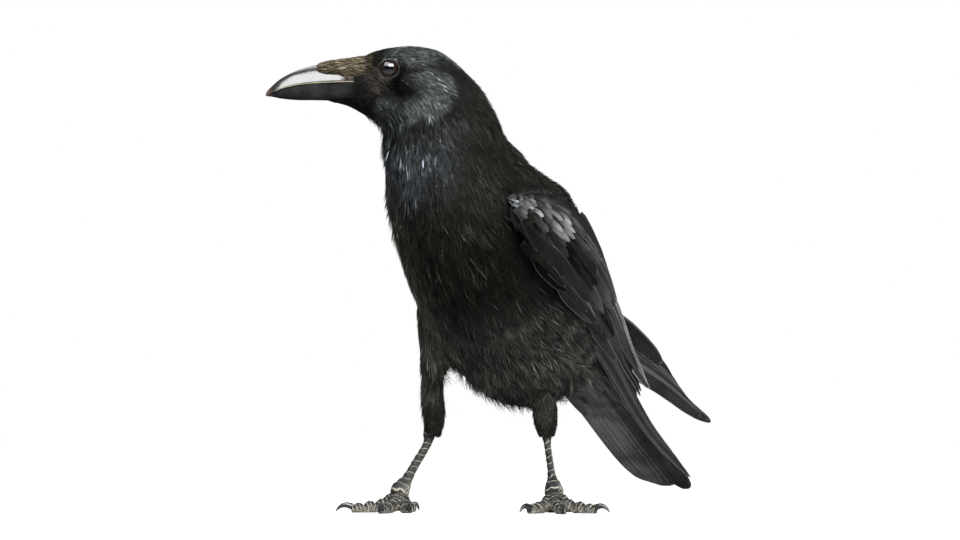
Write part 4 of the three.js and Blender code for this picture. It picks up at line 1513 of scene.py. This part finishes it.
class CROW_OT_body_coat(bpy.types.Operator):
    """Contour feathers of breast, belly, back, rump and thighs"""

    bl_idname = "crow.body_coat"
    bl_label = "Body coat"

    flank = (-26.0, 44.0, 106.0)   # where the far thigh meets the breast, in millimetres
    ledge = (-19.0, 49.0, 111.0)
    mantle = (14.0, -36.0, 168.0)

    def execute(self, context):
        surface = Surface(bpy.data.objects["skin"])
        look = plumage_material("body_feathers", rough=0.55, specular=0.1, tip_gain=1.4, rim_gain=3.0)

        def leg(points):
            return smooth_step(70, 58, points[:, 2]) * smooth_step(45, 30, points[:, 0])

        def trunk(points):
            ledge = blob(points, self.ledge, 15, 0.2)
            return smooth_step(186, 168, points[:, 2]) * (1 - leg(points)) * (1 - ledge)

        def size(points):
            return 0.8 + 0.3 * smooth_step(170, 120, points[:, 2])

        def stand(points):
            breast = smooth_step(-64, -80, points[:, 0]) * smooth_step(135, 152, points[:, 2])
            flank = blob(points, self.flank, 22, 0.6)
            return (2.6 + 3.2 * breast) * (1 - 0.75 * flank) + 1.6 * blob(points, self.mantle, 13, 0.5)

        def low_belly(points):
            right = np.hypot(points[:, 0] + 13, points[:, 1] - 36)
            left = np.hypot(points[:, 0] - 12, points[:, 1] + 19)
            share = smooth_step(92, 74, points[:, 2]) * smooth_step(11, 15, right) * smooth_step(11, 15, left)
            return share * smooth_step(-58, -45, points[:, 0])

        def wisp_colour(points):
            return markings(points) * 1.6

        def hairs(points):
            belly = smooth_step(128, 100, points[:, 2]) * smooth_step(-60, -40, points[:, 0])
            breast = smooth_step(-58, -74, points[:, 0]) * smooth_step(180, 165, points[:, 2])
            breast = breast * (0.25 + 0.75 * smooth_step(10, 35, points[:, 1]))
            return (0.6 * belly + breast) * (1 - leg(points)) * (1 - blob(points, self.flank, 22, 0.4))

        def hair_colour(points):
            front = smooth_step(-58, -74, points[:, 0])[:, None]
            return np.array((0.060, 0.064, 0.060)) * (1 - front) + np.array((0.105, 0.094, 0.080)) * front

        def trouser(points):
            return leg(points) * smooth_step(42.5, 45, points[:, 2])

        def trouser_size(points):
            return 0.45 + 0.55 * smooth_step(43, 58, points[:, 2])

        def trouser_stand(points):
            return 0.7 + 1.2 * smooth_step(44, 56, points[:, 2])

        tuft_piece("body_tufts", surface, look,
                   Tuft(15, 5.2, 7, 0.6, roll=0.4, spread=0.3, turn=0.14, contrast=0.45, pale=0.02,
                        pale_gain=2.5),
                   (coat().body_feathers, trunk, 1.9), (4, 5), size, stand)
        tuft_piece("belly_wisps", surface, look,
                   Tuft(14, 2.8, 4, 0.4, roll=0.4, spread=0.5, length_jitter=0.4, turn=0.35, contrast=0.6),
                   (coat().wisps, low_belly, 1.5), (66, 67), 1.0, 7.5, lie, wisp_colour)
        tuft_piece("pale_hairs", surface, look,
                   Tuft(13, 0.3, 1, 0.24, rows=4, roll=0.3, turn=0.28, contrast=0.6),
                   (coat().hairs, hairs, 1.2), (68, 69), 1.0, 3.9, lie, hair_colour)
        tuft_piece("leg_tufts", surface, look,
                   Tuft(7.5, 2.0, 4, 0.5, roll=0.25, turn=0.08, pale=0.01),
                   (coat().leg_tufts, trouser, 0.9), (64, 65), trouser_size, trouser_stand)
        return {"FINISHED"}


class CROW_OT_wings(bpy.types.Operator):
    """Folded wings: covert bed, covert rows, secondaries and primaries"""

    bl_idname = "crow.wings"
    bl_label = "Wings"

    painted_sheen_share = 0.35              # share of scapulars with a painted blue sheen
    grey_share = 0.3               # share of the longer coverts that are a little greyer

    # Start and end as (along, across), lift at the tip, width, paleness of the rim, grey.
    stepped = (
        ((0.56, -0.96), (0.88, -1.10), -1.7, 8.0, 0.9, 0.8),
        ((0.56, -0.90), (0.90, -1.00), -1.2, 8.0, 0.5, 0.9),
        ((0.56, -0.84), (0.92, -0.92), -0.6, 8.0, 1.1, 0.9),
        ((0.56, -0.78), (0.91, -0.78), 0.0, 8.0, 0.7, 1.0),
        ((0.44, -0.97), (0.69, -1.14), -1.3, 7.5, 1.0, 0.9),
        ((0.45, -0.93), (0.70, -1.07), -1.0, 7.5, 0.6, 1.0),
        ((0.46, -0.88), (0.71, -1.01), -0.7, 7.5, 0.9, 1.0),
        ((0.48, -0.82), (0.72, -0.94), -0.3, 7.5, 0.5, 1.1),
        ((0.49, -0.72), (0.80, -0.66), 0.4, 9.0, 0.8, 1.2),
        ((0.50, -0.58), (0.86, -0.45), 1.6, 9.0, 0.9, 1.0),
        # Top tertial: its rim is made very pale as a painted highlight.
        ((0.50, -0.54), (0.935, -0.70), 5.2, 8.5, 3.4, 1.5),
    )

    def execute(self, context):
        covert_look = vane_material("wing_coverts", (0.29, 0.29, 0.292), rough=0.40, specular=0.05,
                                    tip_gain=0.9)
        flight_look = vane_material("flight_vanes", tuple(colours().edge_wear_and_glint), edge_start=0.40,
                                    specular=0.13)
        bed_look = skin_material()
        skin = Surface(bpy.data.objects["skin"])
        for side, sign, shift, tips in (("left", -1, (0, 0, 0), LEFT_PRIMARIES),
                                        ("right", 1, RIGHT_TUCK, RIGHT_PRIMARIES)):
            bed = remeshed(f"wing_bed_{side}", (f"wing_{side}",), 0.3 * MM, 1.2 * MM, 3)
            self.thin_bed(bed.data, sign, shift[0])
            unwrap(bed)
            # The far wing's bed is painted lighter than the near one's, as light on a side that faces away
            # from the lamps.
            set_colour(bed.data, "marking", 0.004 if sign < 0 else 0.014)
            finish_piece(bed, (f"wing_{side}",), bed_look)
            wing = Slab(WING, sign, shift, skin, 2.6, 2.4)
            outer = Slab(tips, sign)
            rng = np.random.default_rng(SEED + 20 + sign)
            primaries = self.left_primaries(outer, rng) if sign < 0 else self.right_primaries(outer, rng)
            flight = primaries + self.secondaries(wing, rng)
            flight += self.lower_edge(wing, rng, 0.0 if sign < 0 else 0.22)
            finish_piece(lay_vanes(f"flight_{side}", flight, 6, 18),
                         (f"primaries_{side}",), flight_look)
            rows, patches = self.coverts(wing, rng, COVERT_ROWS, 0.5, False)
            more, more_patches = self.coverts(wing, rng, SCAPULAR_ROWS, 0.55, True)
            piece = lay_vanes(f"coverts_{side}", rows + more, 4, 8, patches + more_patches)
            finish_piece(piece, look=covert_look)
        return {"FINISHED"}

    def thin_bed(self, mesh, sign, shift):
        """Pulls the bed in under the feathers, most under the long coverts, and shortens its end."""
        spots, normals = vector_array(mesh, "co"), vector_array(mesh, "normal")
        reach = to_mm(spots)[:, 0] - shift
        outwards = normals[:, 1] * sign
        thin = 0.5 + 1.8 * smooth_step(100, 60, reach)
        thin = thin + 2.2 * smooth_step(5, 25, reach) * smooth_step(80, 60, reach)
        thin = thin + (1.5 * smooth_step(5, 25, reach) * smooth_step(92, 70, reach)
                       * smooth_step(0.45, 0.75, outwards))
        thin = thin + 1.8 * smooth_step(34, 16, reach) * smooth_step(0.1, 0.5, normals[:, 2])
        slope = np.array((1.0, -2.0 * sign / 18.0, -12.0 / 18.0)) * MM
        past_end = np.maximum(0.0, reach - 100.0) * 0.8
        move_vertices(mesh, spots - normals * (thin * MM)[:, None] - slope * past_end[:, None])

    def left_primaries(self, outer, rng):
        """Nine long outer feathers, each one's edge showing below the one above it."""
        tips = (0.60, 0.66, 0.725, 0.79, 0.85, 0.91, 0.97, 1.0, 0.985)
        result = []
        for share, tip in zip(np.linspace(0, 1, len(tips)), tips):
            line, normals = outer.line((0.0, 0.75 - 1.45 * share), (tip, -0.2 - 0.6 * share),
                                       0.6 - 1.9 * share, 0.4 - 1.6 * share, 10)
            tone = np.array((0.019, 0.0186, 0.0183)) * rng.uniform(0.5, 1.5)
            result.append(Vane(line, normals, 9.5 - 2.0 * share, inner=0.42, blunt=5.0, thick=0.3,
                               shade=rng.choice((0.1, 0.3, 0.5, 1.0)), tone=tone))
        return result

    def right_primaries(self, outer, rng):
        """Nine primaries of the crossed wing, spread so that their steps show."""
        tips = (0.60, 0.69, 0.76, 0.83, 0.89, 0.95, 1.0, 0.98, 0.92)
        result = []
        for share, tip in zip(np.linspace(0, 1, len(tips)), tips):
            across = 0.78 - 2.6 * share + 1.4 * share ** 2
            line, normals = outer.line((0.0, 1.05 - 1.6 * share), (tip, across), 1.0 - 1.8 * share,
                                       0.8 - 1.7 * share, 10)
            tone = np.array((0.019, 0.0188, 0.0186)) * rng.uniform(0.75, 1.25)
            result.append(Vane(line, normals, 12.5 - 3.0 * share, inner=0.40, blunt=4.0, thick=0.3,
                               shade=rng.choice((0.03, 0.12, 0.45)), tone=tone))
        return result

    def secondaries(self, wing, rng):
        """Secondaries in two stepped groups, under tertials with pale edges; the top tertial's rim and a
        narrow pale strip along it are a painted highlight.
        """
        result = []
        towards = np.array((-0.85, 0.5 * wing.side, 0.0))
        for share in np.linspace(1, 0, 11):
            tip = 0.94 - 0.13 * share ** 1.2
            line, normals = wing.line((0.36 + 0.04 * share, 0.35 - 1.35 * share),
                                      (tip, 0.05 - 1.0 * share), -2.8 - 0.6 * share, -2.0 - 0.8 * share, 12)
            tone = np.array((0.012, 0.012, 0.012)) * rng.uniform(0.5, 1.4)
            result.append(Vane(line, normals, 13 - 3.0 * share, inner=0.55, blunt=7.0, thick=0.35,
                               shade=rng.uniform(0.0, 0.2), tone=tone))
        for start, end, lift, width, rim, grey in self.stepped:
            line, normals = wing.line(start, end, -3.4, lift, 12, 2.5 if lift > 2 else 1.0)
            turn = np.linspace(0, 0.7 + 0.1 * max(lift, 0), len(line))[:, None]
            normals = unit_rows(normals + towards * turn)
            tone = np.array((0.024, 0.0245, 0.0255)) * grey * rng.uniform(0.75, 1.25)
            result.append(Vane(line, normals, width, blunt=3.0, thick=0.3, hollow=0.08,
                               shade=rim, tone=tone))
        # A narrow pale strip along the top tertial's edge: a painted highlight.
        line, normals = wing.line((0.57, -0.15), (0.925, -0.75), -2.0, 5.3, 12)
        result.append(Vane(line, unit_rows(normals + towards * 1.1), 3.0, blunt=1.5, thick=0.3, hollow=0.0,
                           shade=3.0, tone=(0.25, 0.235, 0.22)))
        return result

    def lower_edge(self, wing, rng, tuck):
        """Narrow coverts of the hand, along the wing's lower edge."""
        result = []
        for tip, across, length, width in (
            (0.61, -1.08, 0.34, 7.5), (0.57, -1.11, 0.32, 7.5), (0.53, -1.12, 0.29, 7.5),
            (0.48, -1.13, 0.26, 7.0), (0.43, -1.13, 0.23, 6.5), (0.38, -1.12, 0.20, 6.5),
            (0.33, -1.08, 0.18, 6.0),
        ):
            line, normals = wing.line((tip - length, -0.86 + tuck), (tip, across + tuck), -1.2, 0.1, 12)
            tone = np.array((0.0110, 0.0102, 0.0098)) * rng.uniform(0.5, 1.5)
            tone = tone * (0.2 + 0.8 * float(smooth_step(0.36, 0.56, tip)))
            result.append(Vane(line, normals, width, blunt=3.5, thick=0.3,
                               shade=rng.uniform(0.1, 0.45), tone=tone))
        return result

    def covert_tone(self, rng, tip, painted_sheen, upper, pale_row):
        """Colour of one covert, with its painted sheen, and the paleness of its rim."""
        painted_shine = (painted_sheen + pale_row) * rng.uniform(0.2, 1.4) ** 2
        if upper and rng.random() < self.painted_sheen_share:
            painted_shine = painted_shine + 0.45 * rng.uniform(0.2, 1.0)
        warm = 0.0 if upper else float(smooth_step(0.16, 0.28, tip))
        tone = np.array((0.0026, 0.0026, 0.0019)) * rng.uniform(0.15, 2.2)
        tone = tone + (np.array((0.084, 0.088, 0.093)) + np.array((0.007, 0.0, -0.003)) * warm) * painted_shine
        if tip > 0.3 and rng.random() < self.grey_share:
            tone = tone + np.array((0.012, 0.0122, 0.012)) * rng.uniform(0.2, 1.3)
        rim = 0.6 * rng.random() ** 2
        if tip > 0.55 and not upper:
            tone = tone + np.array((0.030, 0.031, 0.030)) * rng.uniform(0.5, 1.4)
            rim = 1.5
        return tone, rim

    def coverts(self, wing, rng, rows, step, upper):
        """Rows of coverts, small at the wrist and long over the secondaries; upper ones are scapulars."""
        result, patches = [], []
        for number, (tip, length, width, low, high) in enumerate(rows):
            above, below = track(wing.stations, tip)[3:5]
            spread = (above * max(high, 0) - below * low) if low < 0 else above * (high - low)
            count = max(2, round(spread / (width * step)))
            loose = 1.0 if tip > 0.36 else 1.8
            for in_row in range(count + 1):
                across = low + (high - low) * (in_row + 0.5 * (number % 2)) / (count + 0.5)
                start = (tip - length / WING_LENGTH, across * 0.97 + 0.03)
                back = 0.0 if upper else 0.75 * max(0.0, tip - 0.45) * max(0.0, -across - 0.4)
                end = (tip - back + rng.uniform(-0.008, 0.008) * loose,
                       across + rng.uniform(-0.02, 0.02) * loose)
                sink = 1.0 + 0.9 * float(smooth_step(0.3, 0.5, tip)) * float(across > 0.05)
                if upper:
                    sink = sink + float(tip < 0.3)
                    line, normals = wing.line(start, end, -0.4 - sink, 0.65 - sink, 6)
                else:
                    sink = sink - 0.3 * float(tip > 0.55)
                    line, normals = wing.line(start, end, -0.8 - sink, 0.35 - sink, 6)
                # Painted sheen: a pale blue-grey band across the small coverts, weaker on the far wing, with
                # paler rims.
                painted_sheen = math.exp(-((across + 0.56 - 0.5 * tip) / 0.25) ** 2) * smooth_step(0.37, 0.33, tip)
                painted_sheen = float(painted_sheen * (0.85 + 0.5 * (tip / 0.34) ** 2) * (1.0 if wing.side < 0 else 0.4))
                painted_sheen = 0.0 if upper else painted_sheen
                # A row of greater-covert tips is given some of the same painted sheen.
                pale_row = 0.25 * float(not upper and 0.44 < tip < 0.5 and across > -0.6)
                tone, rim = self.covert_tone(rng, tip, painted_sheen, upper, pale_row)
                result.append(Vane(line, normals, width * rng.uniform(0.8, 1.1), thick=0.25, hollow=0.18,
                                   blunt=rng.uniform(2.2, 4.0), root_width=0.6, tone=tone,
                                   shade=1.1 * rng.random() ** 2 + 1.6 * painted_sheen + rim))
                patches.append(np.array((0.1 + 0.8 * min(max(tip, 0), 1), 0.5 + 0.25 * across)))
        return result, patches


class CROW_OT_tail(bpy.types.Operator):
    """Twelve tail feathers, the middle pair on top, and the soft coverts beneath them"""

    bl_idname = "crow.tail"
    bl_label = "Tail"

    # Painted light and shade of each feather from the left to the right: the fold beside the middle pair is
    # painted dark as shade, and the feathers right of it lighter than those left of it, as lit and shaded
    # halves.
    light_and_shade_greys = (0.45, 0.38, 0.32, 0.20, 0.04, 0.02, 0.10, 0.9, 1.3, 1.5, 1.6, 1.6)

    def execute(self, context):
        look = vane_material("tail_vanes", tuple(colours().edge_wear_and_glint), rough=0.55, specular=0.12)
        tail = Slab(TAIL, -1)
        rng = np.random.default_rng(SEED + 40)
        vanes = []
        for number in range(12):
            share = (number - 5.5) / 5.5
            high = 1.0 - 3.2 * abs(share)
            tip = 1.0 - 0.115 * max(share, 0.0) ** 3 - 0.01 * max(-share, 0.0) ** 2
            tip += rng.uniform(-0.012, 0.006)
            aside = share * 0.5 + 0.06
            line, normals = tail.line((0.0, aside), (tip, aside), high - 1.0, high - 0.8, 10)
            # The lower faces are painted grey as lit from below; the upper faces keep 6 % of it and stay
            # near-black.
            tone = np.array((0.110, 0.109, 0.105)) * rng.uniform(0.8, 1.2) * self.light_and_shade_greys[number]
            vanes.append(Vane(line, normals, 15.5, inner=0.5 + 0.14 * share, blunt=9.0, thick=0.35,
                              hollow=0.05, shade=rng.uniform(0.3, 0.8), tone=tone, top=0.06))
        finish_piece(lay_vanes("tail_feathers", vanes, 6, 18), ("tail",), look)
        soft = vane_material("tail_coverts", (0.10, 0.10, 0.096), rough=0.6, specular=0.1)
        under, patches = [], []
        for row, (tip, length) in enumerate(((0.44, 0.42), (0.36, 0.38), (0.28, 0.34), (0.20, 0.30),
                                             (0.12, 0.26))):
            for number in range(10):
                across = -1.15 + 2.2 * (number + 0.5 * (row % 2)) / 9.5
                reach = tip - 0.07 * across * across + rng.uniform(-0.02, 0.02)
                low = track(tail.stations, reach)[5] * 2 * max(0.0, 1 - abs(across)) ** 0.4
                line, normals = tail.line((reach - length, across * 0.8), (reach, across),
                                          -9.0 - 1.0 * row, -low - 1.5 - 1.1 * row)
                # The coverts under the tail are painted grey, partly their own tone and partly the light that
                # falls on them from below; those above are near-black.
                tone = np.array((0.095, 0.096, 0.094)) * rng.uniform(0.4, 1.5)
                under.append(Vane(line, -normals, 12.0, blunt=2.6, thick=0.25, hollow=0.2,
                                  shade=rng.uniform(0.3, 1.4), tone=tone))
                patches.append(np.array((0.15 + 0.7 * reach, 0.5 + 0.3 * across)))
            for number in range(8):
                across = -0.95 + 1.9 * (number + 0.5 * (row % 2)) / 7.5
                reach = tip - 0.04 - 0.05 * across * across + rng.uniform(-0.02, 0.02)
                line, normals = tail.line((reach - length, across * 0.8), (reach, across), -1.0,
                                          1.0 + 0.5 * row)
                tone = np.array((0.0085, 0.0088, 0.009)) * rng.uniform(0.5, 1.5)
                under.append(Vane(line, normals, 12.0, blunt=3.0, thick=0.25, hollow=0.2,
                                  shade=rng.uniform(0.1, 0.5), tone=tone))
                patches.append(np.array((0.15 + 0.7 * reach, 0.5 + 0.3 * across)))
        finish_piece(lay_vanes("tail_coverts", under, 4, 8, patches), look=soft)
        return {"FINISHED"}


class CROW_OT_stage(bpy.types.Operator):
    """Pale seamless floor, soft studio lamps and the camera"""

    bl_idname = "crow.stage"
    bl_label = "Stage"

    camera_turn = -60.0            # degrees round the bird, 0 looks along +Y
    camera_far = 2200.0            # millimetres from the trunk
    camera_high = 50.0
    aim = (-7.0, 12.1, 133.0)
    lens = 150.0
    room_light = 0.08

    def execute(self, context):
        self.make_floor()
        self.make_lamps()
        self.make_camera(context)
        world = bpy.data.worlds.new("studio")
        context.scene.world = world
        world.use_nodes = True
        tree = world.node_tree
        seen = node(tree, "ShaderNodeLightPath").outputs["Is Camera Ray"]
        fill(tree, tree.nodes["Background"], {
            "Color": (1, 1, 1), "Strength": ramp(tree, seen, 0.0, 1.0, self.room_light, 1.0)})
        context.scene.view_settings.view_transform = "Standard"
        return {"FINISHED"}

    def stand_at(self, holder, spot, target):
        """Puts a lamp or camera at a spot, looking at the target, both in millimetres."""
        holder.location = Vector(place(spot))
        aim = Vector(place(target)) - holder.location
        holder.rotation_euler = aim.to_track_quat("-Z", "Y").to_euler()
        bpy.context.scene.collection.objects.link(holder)

    def make_floor(self):
        sheet = bmesh.new()
        bmesh.ops.create_grid(sheet, x_segments=2, y_segments=2, size=6.0)
        mesh = bpy.data.meshes.new("studio_floor")
        sheet.to_mesh(mesh)
        sheet.free()
        material, tree, shader = new_material("floor_white")
        seen = node(tree, "ShaderNodeLightPath").outputs["Is Camera Ray"]
        fill(tree, shader, {
            "Base Color": tuple(colours().floor), "Roughness": 0.9, "Specular IOR Level": 0.1,
            "Emission Color": (1, 1, 1), "Emission Strength": ramp(tree, seen, 0.0, 1.0, 0.0, 0.97)})
        mesh.materials.append(material)
        floor = bpy.data.objects.new("studio_floor", mesh)
        bpy.context.scene.collection.objects.link(floor)

    def view_vectors(self):
        turn = math.radians(self.camera_turn)
        right = np.array((math.cos(turn), math.sin(turn), 0.0))
        back = np.array((math.sin(turn), -math.cos(turn), 0.0))
        return right, back

    def make_lamps(self):
        right, back = self.view_vectors()
        middle = np.array((-20.0, 0.0, 150.0))
        for name, across, towards, high, wide, tall, power in (
            ("key_box", 330, 900, 900, 1000, 600, 32.0),
            ("bill_box", -350, 700, 1000, 900, 700, 12.5),
            ("top_box", -100, -250, 1100, 700, 600, 3.5),
            ("back_box", 500, -800, 500, 600, 500, 1.2),
        ):
            lamp = bpy.data.lights.new(name, "AREA")
            lamp.shape = "RECTANGLE"
            lamp.size = wide * MM
            lamp.size_y = tall * MM
            lamp.energy = power
            spot = middle + right * across + back * towards
            spot[2] = high
            self.stand_at(bpy.data.objects.new(name, lamp), spot, middle)

    def make_camera(self, context):
        back = self.view_vectors()[1]
        camera = bpy.data.cameras.new("camera")
        camera.lens = self.lens
        camera.sensor_width = 36.0
        camera.clip_start = 0.05
        camera.clip_end = 50.0
        holder = bpy.data.objects.new("camera", camera)
        spot = np.array(self.aim) + back * self.camera_far
        spot[2] = self.camera_high
        self.stand_at(holder, spot, self.aim)
        context.scene.camera = holder


class CROW_PT_panel(bpy.types.Panel):
    """Lists the crow's makers and their sizes and colours"""

    bl_idname = "CROW_PT_panel"
    bl_label = "Crow"
    bl_space_type = "VIEW_3D"
    bl_region_type = "UI"
    bl_category = "Crow"

    def draw(self, context):
        for maker in MAKERS:
            self.layout.operator(maker.bl_idname)
        for settings in (context.scene.crow_coat, context.scene.crow_colours):
            for key in settings.__annotations__:
                self.layout.prop(settings, key)


MAKERS = (
    CROW_OT_stage, CROW_OT_skin, CROW_OT_eyes, CROW_OT_bill, CROW_OT_legs, CROW_OT_wings,
    CROW_OT_tail, CROW_OT_head_coat, CROW_OT_bristles, CROW_OT_neck_coat, CROW_OT_body_coat,
)
CLASSES = (CoatSettings, ColourSettings, *MAKERS, CROW_PT_panel)


def register():
    for item in CLASSES:
        bpy.utils.register_class(item)
    bpy.types.Scene.crow_coat = PointerProperty(type=CoatSettings)
    bpy.types.Scene.crow_colours = PointerProperty(type=ColourSettings)


def unregister():
    del bpy.types.Scene.crow_colours
    del bpy.types.Scene.crow_coat
    for item in reversed(CLASSES):
        bpy.utils.unregister_class(item)


def main():
    register()
    bpy.ops.crow.stage()
    bpy.ops.crow.skin()
    bpy.ops.crow.eyes()
    bpy.ops.crow.bill()
    bpy.ops.crow.legs()
    bpy.ops.crow.wings()
    bpy.ops.crow.tail()
    bpy.ops.crow.head_coat()
    bpy.ops.crow.bristles()
    bpy.ops.crow.neck_coat()
    bpy.ops.crow.body_coat()
    bpy.context.view_layer.update()


if __name__ == "__main__":
    main()
